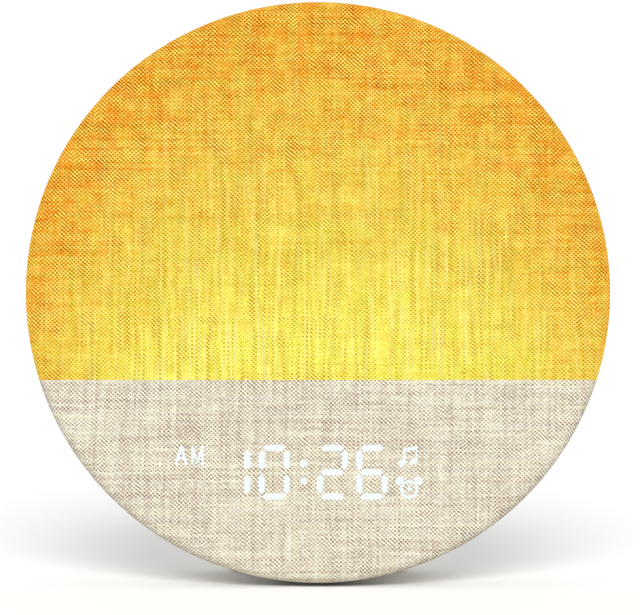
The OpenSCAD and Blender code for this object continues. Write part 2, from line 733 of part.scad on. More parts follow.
module speaker_dust_cap() color("#4a4640") at_speaker() turned() polygon(concat(
    arc([0, cap_centre], cap_r, cap_angle, 90, 8),
    backwards(arc([0, cap_centre], cap_r - 0.5, cap_angle, 90, 8))));
cap_r = coil_r + 3;
cap_angle = 30;
cap_seat = cone_neck
    + (cap_r * cos(cap_angle) - cone_neck_r) * (cone_edge - cone_neck) / (cone_edge_r - cone_neck_r);
cap_centre = cap_seat + fit_gap - cap_r * sin(cap_angle);

module voice_coil() color("#b8733a") at_speaker() difference() {
    rod(0, 0, coil_r + coil_t, basket_seat - pole_plate_t - 1, cone_neck + 0.8);
    rod(0, 0, coil_r, 0, casing_depth);
}

module speaker_magnet() color("#55575c") at_speaker() difference() {
    rod(0, 0, magnet_r, speaker_front + pole_plate_t, speaker_front + pole_plate_t + magnet_t);
    rod(0, 0, pole_r + 2.2, 0, casing_depth);
}

// Steel: the rear plate with its pole, and the ring plate in front of the magnet
module speaker_poles() color("#a9abb0") at_speaker() {
    rod(0, 0, magnet_r - 0.8, speaker_front, speaker_front + pole_plate_t);
    rod(0, 0, pole_r, speaker_front + pole_plate_t / 2, basket_seat);
    difference() {
        rod(0, 0, magnet_r - 0.8, basket_seat - pole_plate_t, basket_seat);
        rod(0, 0, coil_r + coil_t + 0.3, 0, casing_depth);
    }
}

module speaker_screws() color("#b9bcc0") at_speaker() for (a = [45:90:315])
    mirror([0, 1, 0]) translate([0, -2 * (speaker_flange_rear - speaker_flange_t), 0])
        screw(ear_circle_r * cos(a), ear_circle_r * sin(a), speaker_flange_rear - speaker_flange_t,
            2.2, small_head_h, ear_hole_r - 0.05, 3);

// ---- Main board ----

module main_board() color("#2f5d43") in_face() difference() {
    laid(main_board_front, board_t) translate([0, (main_board_top + main_board_bottom) / 2])
        rounded_plate(main_board_w, main_board_top - main_board_bottom, 2.5);
    for (x = [-board_post_x, board_post_x], z = board_post_z)
        rod(x, z, small_hole_r + 0.2, 0, casing_depth);
}

// Chips on the board's face, each as x, z and side
chips = [[-18.5, -46, 12], [16, -40, 9], [22, -54, 7], [-32, -56, 6]];
module board_chips() color("#26272a") in_face() for (c = chips)
    translate([c[0] - c[2] / 2, main_board_front - 1.4, c[1] - c[2] / 2]) cube([c[2], 1.4, c[2]]);

// Upright capacitors on the board's face, each as x, z, radius and height
capacitors = [[-32, -42, 4, 9], [34, -44, 3.2, 8], [2, -55, 3.2, 8]];
module board_capacitors() color("#3d4a63") in_face() for (c = capacitors) {
    rod(c[0], c[1], c[2], main_board_front - c[3], main_board_front);
}

// Plug headers: display, lamps, speaker, top keys and rear keys, each as x, z, width
header_z = main_board_top - 5;
headers = [[-2, header_z - 12, 18], [30, header_z, 7], [12, header_z, 7], [-26, header_z, 7],
    [-8, header_z, 7]];
ribbon_top_z = display_z + 3;
module board_connectors() color("#f4f2ea") in_face() {
    for (h = headers) translate([h[0] - h[2] / 2, main_board_front - connector_d, h[1] - 2])
        cube([h[2], connector_d, 4]);
    translate([headers[0][0] - 9, light_box_rear + board_t, ribbon_top_z - 2]) cube([18, connector_d, 4]);
}

module board_screws() color("#b9bcc0") in_face() for (x = [-board_post_x, board_post_x], z = board_post_z)
    mirror([0, 1, 0]) translate([0, -2 * main_board_front, 0])
        screw(x, z, main_board_front, small_head_r, small_head_h, small_screw_r, board_t + 6);

// The barrel jack: a block and a round flange behind the casing's recess, a blind socket and its pin
module power_inlet() color("#232427") in_face() {
    difference() {
        union() {
            translate([inlet_x - inlet_w / 2, main_board_rear, lower_row_z - inlet_h / 2])
                cube([inlet_w, inlet_l, inlet_h]);
            rod(inlet_x, lower_row_z, inlet_hole_r + inlet_flange_w,
                main_board_rear + inlet_l - inlet_flange_t, main_board_rear + inlet_l);
        }
        rod(inlet_x, lower_row_z, socket_r, main_board_rear + inlet_l - 1 - pin_l,
            casing_depth);
    }
    rod(inlet_x, lower_row_z, pin_r, main_board_rear + 1, main_board_rear + inlet_l - 1);
}

module cell_holder() color("#2a2b2f") in_face() difference() {
    translate([cell_x - holder_w / 2, main_board_rear, lower_row_z - holder_h / 2])
        cube([holder_w, holder_rear - main_board_rear, holder_h]);
    rod(cell_x, lower_row_z, cell_r + fit_gap, holder_rear - cell_t - 0.2, holder_rear + cut);
}

module coin_cell() color("#c9ccd1") in_face() {
    rod(cell_x, lower_row_z, cell_r, holder_rear - cell_t, holder_rear - 0.4);
    rod(cell_x, lower_row_z, cell_r - 1.2, holder_rear - cell_t, holder_rear);
}

// The door with its locating lip, screwed down at one end
module battery_door() color("#e6e3dc") in_face() difference() {
    union() {
        laid(casing_depth - door_t, door_t) translate([door_x, lower_row_z])
            rounded_plate(door_w, door_h, key_corner_r);
        laid(casing_depth - door_t - door_lip, door_lip + 0.2) translate([cell_x, lower_row_z])
            difference() {
                square([door_open_w - 2 * fit_gap, door_open_h - 2 * fit_gap], center = true);
                square([door_open_w - 2.4, door_open_h - 2.4], center = true);
            }
    }
    rod(door_screw_x, lower_row_z, small_hole_r + 0.2, 0, casing_depth + cut);
    rod(door_screw_x, lower_row_z, 2.3, casing_depth - 0.9, casing_depth + cut);
    for (k = [-1:1]) translate([door_x - door_w / 2 + 2.5 + k * 1.4, casing_depth - 0.5, lower_row_z - 5])
        cube([0.6, 1, 10]);
}

module battery_door_screw() color("#8f9296") in_face()
    screw(door_screw_x, lower_row_z, casing_depth - 0.9, 2.1, 0.8, small_screw_r, 6);

// ---- Keys ----

top_key_x = [-far_key_x, -near_key_x, 0, near_key_x, far_key_x];
top_key_widths = [top_key_w, top_key_w, snooze_w, top_key_w, top_key_w];

// An upright prism through the top of the casing at a key's place, larger all round by a margin
module top_key_prism(x, w, l, margin, top)
    translate([x, top_key_y, top_board_z + switch_h]) linear_extrude(top)
        rounded_plate(w + 2 * margin, l + 2 * margin, key_corner_r + margin);

// A top key follows the casing's curve; its flange lies under the wall and its stem over the switch
module top_key(x, w) in_face() {
    difference() {
        intersection() {
            top_key_prism(x, w, top_key_l, 0, face_r);
            casing_solid(-key_proud, cover_depth);
        }
        casing_solid(wall + 2 * fit_gap + key_flange_t / 2, cover_depth - cut);
    }
    difference() {
        intersection() {
            top_key_prism(x, w, top_key_l, key_gap + key_flange_w, face_r);
            casing_solid(wall + 2 * fit_gap, cover_depth);
        }
        casing_solid(wall + 2 * fit_gap + key_flange_t, cover_depth - cut);
    }
    difference() {
        translate([x, top_key_y, top_board_z + switch_h + plunger_h + switch_gap])
            cylinder(r = key_stem_r, h = face_r);
        difference() {
            translate([-face_r, 0, 0]) cube([face_d, casing_depth, face_d]);
            casing_solid(wall + 2 * fit_gap + key_flange_t / 2, 0);
        }
    }
}
module volume_down_key() color("#dedbd4") top_key(-near_key_x, top_key_w);
module light_key() color("#dedbd4") top_key(-far_key_x, top_key_w);
module snooze_key() color("#d3d0c9") top_key(0, snooze_w);
module volume_up_key() color("#dedbd4") top_key(near_key_x, top_key_w);
module sound_key() color("#dedbd4") top_key(far_key_x, top_key_w);

// A rear key: a pill-shaped cap with a dished face, a flange and a stem
module rear_key(x) in_face() difference() {
    union() {
        laid(back_inner - 2 * fit_gap - key_flange_t, wall + 2 * fit_gap + key_flange_t + key_proud)
            translate([x, rear_key_z]) rounded_plate(rear_key_w, rear_key_h, key_corner_r);
        laid(back_inner - 2 * fit_gap - key_flange_t, key_flange_t)
            translate([x, rear_key_z])
                rounded_plate(rear_key_w + 2 * (key_gap + key_flange_w),
                    rear_key_h + 2 * (key_gap + key_flange_w), key_corner_r);
        rod(x, rear_key_z, key_stem_r, rear_board_face + switch_h + plunger_h + switch_gap, back_inner);
    }
    translate([x, casing_depth + key_proud + dish_r - dish_depth, rear_key_z]) rotate([0, 90, 0])
        cylinder(r = dish_r, h = rear_key_w - 3, center = true, $fn = 96);
}
dish_r = 12;
dish_depth = 0.35;
module time_key() color("#dedbd4") rear_key(rear_key_x[0]);
module alarm_key() color("#dedbd4") rear_key(rear_key_x[1]);
module minus_key() color("#dedbd4") rear_key(rear_key_x[2]);
module plus_key() color("#dedbd4") rear_key(rear_key_x[3]);

module top_key_board() color("#2f5d43") in_face() difference() {
    translate([-top_board_w / 2, top_board_y, top_board_z - board_t])
        cube([top_board_w, top_board_rear - top_board_y, board_t]);
    for (x = [-top_post_x, top_post_x])
        translate([x, top_post_y, 0]) cylinder(r = small_hole_r + 0.2, h = face_r);
}

module top_key_switches() color("#3a3b3f") in_face() for (x = top_key_x)
    translate([x, top_key_y, top_board_z]) {
        translate([-switch_w / 2, -switch_w / 2, 0]) cube([switch_w, switch_w, switch_h]);
        translate([0, 0, switch_h / 2]) cylinder(r = plunger_r, h = switch_h / 2 + plunger_h);
    }

module rear_key_board() color("#2f5d43") in_face() difference() {
    laid(rear_board_face - board_t, board_t) translate([0, rear_key_z])
        square([rear_board_w, rear_board_h], center = true);
    for (x = [-rear_post_x, rear_post_x]) rod(x, rear_key_z, small_hole_r + 0.2, 0, casing_depth);
}

module rear_key_switches() color("#3a3b3f") in_face() for (x = rear_key_x) {
    translate([x - switch_w / 2, rear_board_face, rear_key_z - switch_w / 2])
        cube([switch_w, switch_h, switch_w]);
    rod(x, rear_key_z, plunger_r, rear_board_face + switch_h / 2, rear_board_face + switch_h + plunger_h);
}

module key_board_screws() color("#b9bcc0") in_face() {
    for (x = [-rear_post_x, rear_post_x])
        mirror([0, 1, 0]) translate([0, -2 * (rear_board_face - board_t), 0])
            screw(x, rear_key_z, rear_board_face - board_t, small_head_r, small_head_h, small_screw_r, 6);
    for (x = [-top_post_x, top_post_x]) translate([x, top_post_y, top_board_z - board_t]) {
        translate([0, 0, -small_head_h]) cylinder(r = small_head_r, h = small_head_h);
        translate([0, 0, -small_head_h / 2]) cylinder(r = small_screw_r, h = 6);
    }
}

// ---- Wiring held inside ----

ribbon_t = 0.6;
ribbon_w = 16;
ribbon_y0 = light_box_rear + board_t + connector_d;
ribbon_y1 = main_board_front - connector_d;
ribbon_line = [for (i = [0:14]) let (t = i / 14)
    [ribbon_y0 + (ribbon_y1 - ribbon_y0) * t,
        ribbon_top_z + (headers[0][1] - ribbon_top_z) * (3 - 2 * t) * t * t]];
module display_ribbon() color("#c9c6bd") in_face() translate([headers[0][0] - ribbon_w / 2, 0, 0])
    rotate([90, 0, 90]) linear_extrude(ribbon_w) polygon(concat(
        [for (p = ribbon_line) p + [0, ribbon_t / 2]],
        backwards([for (p = ribbon_line) p - [0, ribbon_t / 2]])));

lead_r = 0.9;
// Where a lead meets the front of one of the main board's headers, and its straight last stretch there
function header_end(k) = [headers[k][0], main_board_front - connector_d, header_z];
function landing(e) = [e - [0, 4, 0], e - [0, 2, 0], e];

module led_lead() color("#d8b13a") in_face() wire(let (e = header_end(1),
    p = [lead_hole_x, lamp_board_y + lamp_board_w / 2, horizon])
    smooth(concat([p, p - [0, 0, 2], p - [0, 0, 4], [lead_hole_x - 8, tray_rear, horizon - 8],
        e + [9, -7.5, -3.5]], landing(e))), lead_r);

module speaker_lead() color("#b2392f") in_face() wire(let (e = header_end(2), y = speaker_flange_rear)
    smooth(concat([[e[0] - 3, y - 6, speaker_z - 20], [e[0] - 1, y - 12, speaker_z - 28],
        e + [1, -3.5, 16.5], e + [0.3, -5.5, 7]], landing(e))), lead_r);

module key_leads() color("#5a5d63") in_face() {
    wire(let (e = header_end(3), x = -top_board_w / 2, p = [x + 3, top_board_y + 6, top_board_z - board_t])
        smooth(concat([p, p - [0, 0, 2], p - [0, 0, 4], [x - 1, top_board_y + 9, top_board_z - 14],
            [x - 4, top_board_y + 11, speaker_z + 3], [x - 2, e[1] - 2.8, speaker_z - 22],
            e + [-12, -5.5, 12.5]], landing(e))), lead_r);
    wire(let (e = header_end(4), p = [e[0] - 6, rear_board_face - board_t, rear_key_z - 3])
        smooth(concat([p, p - [0, 2, 0], p - [0, 4, 0], e + [-2, -6, 7]], landing(e))), lead_r);
}

// ---- What is drawn ----

fabric_cover();
light_diffuser();
display_mask();
front_frame();
light_divider();
light_reflector();
sunrise_led_board();
sunrise_leds();
display_housing();
display_segments();
display_board();
display_leds();
display_screws();
rear_casing();
casing_screws();
base_pad();
speaker_grille();
speaker_gasket();
speaker_frame();
speaker_surround();
speaker_cone();
speaker_dust_cap();
voice_coil();
speaker_magnet();
speaker_poles();
speaker_screws();
main_board();
board_chips();
board_capacitors();
board_connectors();
board_screws();
power_inlet();
cell_holder();
coin_cell();
battery_door();
battery_door_screw();
top_key_board();
top_key_switches();
snooze_key();
light_key();
sound_key();
volume_up_key();
volume_down_key();
rear_key_board();
rear_key_switches();
time_key();
alarm_key();
plus_key();
minus_key();
key_board_screws();
display_ribbon();
led_lead();
speaker_lead();
key_leads();
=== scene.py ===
# %% [markdown]
# # A round sunrise alarm clock
# The clock is a short drum that leans back a little on a low foot. Linen is stretched over its round
# face. The upper part of the face glows like a sunrise, and the time shines through the lower part.
# The solids come from the CAD frame. Here they get their cloth, their light and their finishes.

# %% Load the frame
import json
import math

import bpy
import numpy as np
from mathutils import Matrix, Vector
from mathutils.geometry import delaunay_2d_cdt


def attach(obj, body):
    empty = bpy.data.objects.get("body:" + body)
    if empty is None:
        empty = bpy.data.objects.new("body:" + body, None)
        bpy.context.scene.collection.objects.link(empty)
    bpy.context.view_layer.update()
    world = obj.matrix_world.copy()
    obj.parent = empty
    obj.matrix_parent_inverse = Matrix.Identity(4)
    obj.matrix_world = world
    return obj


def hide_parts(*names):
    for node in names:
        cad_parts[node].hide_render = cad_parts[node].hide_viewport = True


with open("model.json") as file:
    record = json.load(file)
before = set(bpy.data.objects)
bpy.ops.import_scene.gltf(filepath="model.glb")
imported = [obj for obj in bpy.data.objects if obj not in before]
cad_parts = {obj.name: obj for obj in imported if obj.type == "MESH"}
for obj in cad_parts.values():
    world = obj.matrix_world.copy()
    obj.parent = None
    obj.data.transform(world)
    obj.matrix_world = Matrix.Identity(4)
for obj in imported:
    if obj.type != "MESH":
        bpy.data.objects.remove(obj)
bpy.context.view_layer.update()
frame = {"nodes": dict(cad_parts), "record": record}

MM = 0.001

# %% [markdown]
# The face leans back, so most of the work is easier in the face's own frame: X across, Y into the
# clock, Z up along the face, with the origin in the middle of the linen. Sizes in it are written in
# millimetres. One matrix takes any point from there to the shared frame.

# %% The face's own frame
FACE_LEAN = math.radians(6.5)
FACE_MIDDLE = Vector((0, -29.0293, 94.0209)) * MM
FACE_RADIUS = 93
to_row = Matrix.Translation(FACE_MIDDLE) @ Matrix.Rotation(-FACE_LEAN, 4, "X")


def on_face(x, depth, z):
    """A place in millimetres on or behind the face, as a point of the shared frame."""
    return to_row @ (Vector((x, depth, z)) * MM)


print("top of the face:", [round(value, 4) for value in on_face(0, 0, FACE_RADIUS)])

# %% [markdown]
# ## Camera
# A long lens from a little under a metre away keeps the disc round. The camera stands level with the
# middle of the face, which the lean turns 6.5 degrees away from it. Two small turns of the camera
# set where the disc lies in the image.

# %% Camera
IMAGE_WIDTH, IMAGE_HEIGHT = 640, 615
CAMERA_DISTANCE = 0.9
SENSOR_WIDTH = 36.0
FACE_WIDTH_PX = 586.6
FACE_AT_PX = (318.0, 288.2)

pixels_per_radian = FACE_WIDTH_PX / (2 * FACE_RADIUS * MM) * CAMERA_DISTANCE
camera = bpy.data.objects.new("camera", bpy.data.cameras.new("camera"))
camera.data.sensor_width = SENSOR_WIDTH
camera.data.lens = pixels_per_radian * SENSOR_WIDTH / IMAGE_WIDTH
camera.location = FACE_MIDDLE + Vector((0, -CAMERA_DISTANCE, 0))
turn_down = (IMAGE_HEIGHT / 2 - FACE_AT_PX[1]) / pixels_per_radian
turn_right = (IMAGE_WIDTH / 2 - FACE_AT_PX[0]) / pixels_per_radian
camera.rotation_euler = (math.pi / 2 - turn_down, 0, -turn_right)
scene = bpy.context.scene
scene.collection.objects.link(camera)
scene.camera = camera
print("lens:", round(camera.data.lens, 1), "mm")

# %% [markdown]
# ## Wiring helpers
# Materials here are made of nodes alone. Small helpers keep each step on one line: they add nodes,
# do arithmetic, move a value to another range, read a noise, and split or stretch a vector.

# %% Node helpers
NOISE_ENDS = (0.3, 0.7)  # nearly all values of a noise lie between these


def feed(tree, node, feeds):
    """Sets a node's inputs, or links them to other nodes' outputs."""
    for key, value in dict(feeds).items():
        if isinstance(value, bpy.types.NodeSocket):
            tree.links.new(value, node.inputs[key])
        else:
            node.inputs[key].default_value = value


def add(tree, kind, feeds=(), **settings):
    """Adds a node, sets its options and feeds its inputs."""
    node = tree.nodes.new(kind)
    for name, value in settings.items():
        setattr(node, name, value)
    feed(tree, node, feeds)
    return node


def calc(tree, operation, *values, clamp=False):
    """The result of one Math node."""
    return add(tree, "ShaderNodeMath", enumerate(values), operation=operation, use_clamp=clamp).outputs[0]


def times(tree, *values):
    """The product of several values."""
    product = values[0]
    for value in values[1:]:
        product = calc(tree, "MULTIPLY", product, value)
    return product


def grown(tree, value, factor, start):
    """A value times a factor, added to a start."""
    return calc(tree, "MULTIPLY_ADD", value, factor, start)


def spread(tree, value, low, high, to_low=0.0, to_high=1.0, smooth=False):
    """A value taken from one range to another, and held inside it."""
    feeds = {"Value": value, "From Min": low, "From Max": high, "To Min": to_low, "To Max": to_high}
    kind = "SMOOTHSTEP" if smooth else "LINEAR"
    return add(tree, "ShaderNodeMapRange", feeds, interpolation_type=kind).outputs["Result"]


def noise_at(tree, place, scale, detail=2.0):
    """One noise value at a place."""
    return add(tree, "ShaderNodeTexNoise", {"Vector": place, "Scale": scale, "Detail": detail}).outputs["Fac"]


def follow(tree, noise, low, high):
    """A value that follows a noise from low to high."""
    return spread(tree, noise, *NOISE_ENDS, low, high)


def split(tree, vector):
    """The X, Y and Z of a vector."""
    return add(tree, "ShaderNodeSeparateXYZ", {"Vector": vector}).outputs


def stretch(tree, vector, factors):
    """A vector whose X, Y and Z are multiplied by three factors."""
    return add(tree, "ShaderNodeVectorMath", {0: vector, 1: factors}, operation="MULTIPLY").outputs[0]


print("ends of the noise values:", NOISE_ENDS)

# %% [markdown]
# ## Studio
# A white sky lights everything evenly, and looks brighter still where the camera sees it. One broad,
# soft sun stands in front of the clock and well up, so the shadow lies behind it and shows on both
# sides of its foot.

# %% Sky
SKY_LIGHT, BACKDROP_LIGHT = 0.70, 1.1

scene.view_settings.view_transform = "Standard"
sky = bpy.data.worlds.new("white_studio")
sky.use_nodes = True
scene.world = sky
tree = sky.node_tree
seen = add(tree, "ShaderNodeLightPath").outputs["Is Camera Ray"]
light = spread(tree, seen, 0, 1, SKY_LIGHT, BACKDROP_LIGHT)
feed(tree, tree.nodes["Background"], {"Strength": light, "Color": (1, 1, 1, 1)})
print("sky:", SKY_LIGHT, "seen directly:", BACKDROP_LIGHT)

# %% Soft sun
SUN_LIGHT = 2.64
SUN_SPREAD = math.radians(26)
SUN_FROM = Vector((0.02, -0.89, 0.455))

sun = bpy.data.objects.new("sun", bpy.data.lights.new("sun", "SUN"))
sun.data.energy = SUN_LIGHT
sun.data.angle = SUN_SPREAD
sun.rotation_euler = SUN_FROM.to_track_quat("Z", "Y").to_euler()
scene.collection.objects.link(sun)
print("sun height in degrees:", round(math.degrees(math.asin(SUN_FROM.normalized().z)), 1))

# %% [markdown]
# Colours are written as web codes. The next helpers turn them into linear light, mix them, and look
# them up along a ramp.

# %% Colour helpers
BLACK = (0, 0, 0, 1)


def shade(code):
    """A colour written as #rrggbb, as Blender's linear colour."""
    steps = [int(code[i:i + 2], 16) / 255 for i in (1, 3, 5)]
    return (*[s / 12.92 if s <= 0.04045 else ((s + 0.055) / 1.055) ** 2.4 for s in steps], 1)


def mixed(tree, share, first, second, blend="MIX"):
    """Two colours mixed by a share."""
    feeds = {0: share, 6: first, 7: second}
    return add(tree, "ShaderNodeMix", feeds, data_type="RGBA", blend_type=blend).outputs[2]


def ramp(tree, value, positions, codes):
    """A colour that runs through #rrggbb colours at their positions."""
    node = add(tree, "ShaderNodeValToRGB", {0: value})
    bar = node.color_ramp.elements
    while len(bar) < len(codes):
        bar.new(0.5)
    for element, position, code in zip(bar, positions, codes):
        element.position, element.color = position, shade(code)
    return node.outputs["Color"]


def two_tone(tree, noise, dark, bright):
    """A colour that follows a noise from dark to bright."""
    return ramp(tree, noise, NOISE_ENDS, (dark, bright))


print("middle grey in linear light:", round(shade("#808080")[0], 3))

# %% [markdown]
# An effect that more than one material uses becomes a node group with named sockets.

# %% Group and material helpers


def make_group(name, takes, gives, build):
    """A node group with named sockets; build turns its inputs into its outputs."""
    tree = bpy.data.node_groups.new(name, "ShaderNodeTree")
    for way, sockets in (("INPUT", takes), ("OUTPUT", gives)):
        for label, value in sockets.items():
            size = len(value) if hasattr(value, "__len__") else 1
            kind = {1: "NodeSocketFloat", 3: "NodeSocketVector", 4: "NodeSocketColor"}[size]
            socket = tree.interface.new_socket(label, in_out=way, socket_type=kind)
            if way == "INPUT":
                socket.default_value = value
    given = tree.nodes.new("NodeGroupInput").outputs
    feed(tree, tree.nodes.new("NodeGroupOutput"), build(tree, given))
    print(name, "group:", len(tree.nodes), "nodes")
    return tree


def use(tree, group, **feeds):
    """Puts a node group into a material and returns its outputs."""
    return add(tree, "ShaderNodeGroup", feeds, node_tree=group).outputs


def new_material(name):
    """A plain material, its node tree and its shader."""
    made = bpy.data.materials.new(name)
    made.use_nodes = True
    return made, made.node_tree, made.node_tree.nodes["Principled BSDF"]


def raise_relief(tree, shader, height, relief_mm, strength):
    """Shades a surface as if it had a relief of so many millimetres."""
    bump = add(tree, "ShaderNodeBump", {"Height": height, "Strength": strength, "Distance": relief_mm * MM})
    feed(tree, shader, {"Normal": bump.outputs[0]})


print("group helpers ready")

# %% [markdown]
# ## Places on the clock
# Most patterns are laid out along the leaning face, so one group turns a point of the object into
# the face's own frame: X across, Y into the clock and Z up along the face.

# %% Group for the face's frame
NONE = (0.0, 0.0, 0.0)


def build_face_frame(tree, _):
    """Moves the origin to the middle of the face and turns the lean away."""
    place = add(tree, "ShaderNodeTexCoord").outputs["Object"]
    moved = add(tree, "ShaderNodeVectorMath", {0: place, 1: FACE_MIDDLE}, operation="SUBTRACT")
    feeds = {"Vector": moved.outputs[0], "Angle": FACE_LEAN}
    return {"Place": add(tree, "ShaderNodeVectorRotate", feeds, rotation_type="X_AXIS").outputs[0]}


face_frame = make_group("face_frame", {}, {"Place": NONE}, build_face_frame)

# %% [markdown]
# ## Weave
# Linen is a plain weave: each upright thread goes over one level thread and under the next, so the
# two kinds of crossing alternate like the squares of a chessboard. The upright threads lie on top
# and catch the light, which is painted on as a highlight on their crowns, and the hollows at the
# crossings between them get painted shade. Flax is spun unevenly, so some threads leave wider gaps
# beside them, with more painted shade in them, and a few are paler, and both drift along a thread.
# The yarn is twisted, so in places the crossings lean and run together into slanted lines.
# The group works on the flat cut of the cloth, so that the weave follows the cloth round an edge.

# %% Threads
COLUMN_PITCH, ROW_PITCH = 0.672 * MM, 0.634 * MM
# Upright and level threads: the pitch, how the noise that makes them stray is stretched, and how
# far they stray, in threads.
STRAYS = {"X": ("Column Pitch", (60.0, 150.0, 1.0), 1.2),
          "Y": ("Row Pitch", (230.0, 70.0, 1.0), 2.8)}
THREADS_APART = 7.31  # how far apart neighbouring threads lie in their noise


def count_threads(tree, given, axis):
    """A thread's number, and two waves: nought between threads, and nought on them."""
    pitch, factors, reach = STRAYS[axis]
    noise = noise_at(tree, stretch(tree, given["Cloth"], factors), 1.0, 3.0)
    stray = times(tree, calc(tree, "SUBTRACT", noise, 0.5), reach)
    counted = calc(tree, "DIVIDE", split(tree, given["Cloth"])[axis], given[pitch])
    place = calc(tree, "ADD", counted, stray)
    angle = times(tree, place, math.pi)
    return calc(tree, "FLOOR", place), calc(tree, "SINE", angle), calc(tree, "COSINE", angle)


def thread_noise(tree, across, along, seed, drift):
    """A thread's own colour and its three parts, which drift slowly along it."""
    feeds = {"X": times(tree, across, THREADS_APART), "Y": times(tree, along, drift), "Z": seed}
    at = add(tree, "ShaderNodeCombineXYZ", feeds).outputs[0]
    colour = add(tree, "ShaderNodeTexNoise", {"Vector": at, "Scale": 1.0, "Detail": 2.0}).outputs["Color"]
    return colour, add(tree, "ShaderNodeSeparateColor", {"Color": colour}).outputs


print("threads to the centimetre:", [round(10 * MM / pitch, 1) for pitch in (COLUMN_PITCH, ROW_PITCH)])

# %% Weave group
# A pair is the range of a noise over which an effect sets in.
TWISTED, TWIST_SCALE, TWIST_LEAN = (0.47, 0.66), 240.0, -0.5
GAPPED, STREAKED, PALE_ONES = (0.46, 0.66), (0.42, 0.62), (0.54, 0.63)
LOOSE_SCALE, LOOSE_ENDS, LOOSE_SINGLE = 120.0, (0.15, 1.1), 0.7
MIDDLE_TONE, COLUMN_TONE, ROW_TONE, SINGLE_TONE = 0.57, 0.26, 0.44, 0.24
CROWN_LIGHT, PALE_LIGHT, CROSSING_HEIGHT = 0.30, 0.12, 0.25


def gap_shade(tree, given, column, row, single):
    """The painted shade in a gap: darker beside some threads, and uneven everywhere."""
    gap = grown(tree, spread(tree, column, *GAPPED), given["Columns"], given["Depth"])
    gap = grown(tree, spread(tree, row, *GAPPED), given["Rows"], gap)
    area = follow(tree, noise_at(tree, given["Cloth"], LOOSE_SCALE), *LOOSE_ENDS)
    return times(tree, gap, grown(tree, single, LOOSE_SINGLE, area))


def build_weave(tree, given):
    """Finds a point's crossing, how high the cloth is there, and how bright it is with painted highlight and
    shade.
    """
    column_at, column_wave, column_turn = count_threads(tree, given, "X")
    row_at, row_wave, row_turn = count_threads(tree, given, "Y")
    column_arch = calc(tree, "ABSOLUTE", column_wave)
    arches = times(tree, column_arch, calc(tree, "ABSOLUTE", row_wave))
    twist = spread(tree, noise_at(tree, given["Cloth"], TWIST_SCALE), *TWISTED, 0.0, TWIST_LEAN)
    crossing = grown(tree, times(tree, column_turn, row_turn), twist, times(tree, column_wave, row_wave))
    crown = calc(tree, "MAXIMUM", crossing, 0.0)
    hollow = calc(tree, "MAXIMUM", times(tree, crossing, -1.0), 0.0)

    column_tint, column = thread_noise(tree, column_at, row_at, 1.7, 0.022)
    row_tint, row = thread_noise(tree, row_at, column_at, 8.3, 0.016)
    cell = add(tree, "ShaderNodeCombineXYZ", {"X": column_at, "Y": row_at}).outputs[0]
    single = add(tree, "ShaderNodeTexWhiteNoise", {"Vector": cell}).outputs["Value"]
    pale = times(tree, spread(tree, column[2], *PALE_ONES), column_arch)

    tone = grown(tree, column[1], COLUMN_TONE, MIDDLE_TONE)
    tone = calc(tree, "ADD", tone, grown(tree, row[1], ROW_TONE, -ROW_TONE / 2))
    tone = grown(tree, pale, times(tree, given["Columns"], PALE_LIGHT), tone)
    # Each crown gets a painted highlight.
    tone = grown(tree, crown, CROWN_LIGHT, tone)
    tone = calc(tree, "ADD", tone, grown(tree, single, SINGLE_TONE, -SINGLE_TONE / 2))
    # Painted shade in the hollows at the crossings and in the wider gaps beside some threads.
    dark = times(tree, hollow, gap_shade(tree, given, column[0], row[0], single))
    streak_shade = times(tree, calc(tree, "SUBTRACT", 1.0, column_arch), spread(tree, column[0], *STREAKED))
    dark = calc(tree, "ADD", dark, times(tree, streak_shade, given["Streaks"]))

    return {"Light": calc(tree, "SUBTRACT", tone, dark),
            "Pale": times(tree, pale, grown(tree, crown, 0.5, 0.5)),
            "Height": grown(tree, crossing, CROSSING_HEIGHT, arches),
            "Tint": mixed(tree, 0.5, column_tint, row_tint)}


weave = make_group(
    "plain_weave",
    {"Cloth": NONE, "Column Pitch": COLUMN_PITCH, "Row Pitch": ROW_PITCH, "Depth": 0.3, "Columns": 0.6,
     "Rows": 0.5, "Streaks": 0.2},
    {"Light": 0.0, "Height": 0.0, "Pale": 0.0, "Tint": BLACK}, build_weave)

# %% [markdown]
# ## Sunrise
# A row of lamps behind the linen shines upwards from the horizon, and its light is painted onto the
# cloth as a glow. Just above the horizon the glow is pale yellow, and it turns to orange towards the
# top and the sides. The group gives the warmth of that glow at a place on the face, from 0 for orange
# to 1 for pale yellow, and a mask of the lit part.

# %% Sunrise group
HORIZON, SOFTNESS = -29.2 * MM, 0.15 * MM
YELLOW_UP_TO, ORANGE_FROM = -21 * MM, 87 * MM
SIDE_REACH, SIDE_PULL, CORNER_PULL = 84 * MM, -0.25, -0.28
PATCH_SCALE, PATCH_DETAIL = 60.0, 4.0
RIM_LIT_TO, RIM_DARK_FROM = 8.5 * MM, 13.5 * MM


def build_sunrise(tree, given):
    """Warmth falls towards the top and the sides; the horizon and the rim end the light."""
    at = split(tree, given["Place"])
    up = spread(tree, at["Z"], YELLOW_UP_TO, ORANGE_FROM, 1.0, 0.0)
    side = calc(tree, "POWER", calc(tree, "DIVIDE", at["X"], SIDE_REACH), 2.0)
    warmth = grown(tree, side, SIDE_PULL, up)
    warmth = grown(tree, times(tree, side, side), CORNER_PULL, warmth)
    patch = calc(tree, "SUBTRACT", noise_at(tree, given["Place"], PATCH_SCALE, PATCH_DETAIL), 0.5)
    warmth = calc(tree, "ADD", times(tree, patch, given["Patches"]), warmth)
    above = spread(tree, at["Z"], HORIZON - SOFTNESS, HORIZON + SOFTNESS, smooth=True)
    before = spread(tree, at["Y"], RIM_LIT_TO, RIM_DARK_FROM, 1.0, 0.0, smooth=True)
    return {"Warmth": warmth, "Lit": times(tree, above, before)}


sunrise = make_group("sunrise", {"Place": NONE, "Patches": 0.28}, {"Warmth": 0.0, "Lit": 0.0}, build_sunrise)
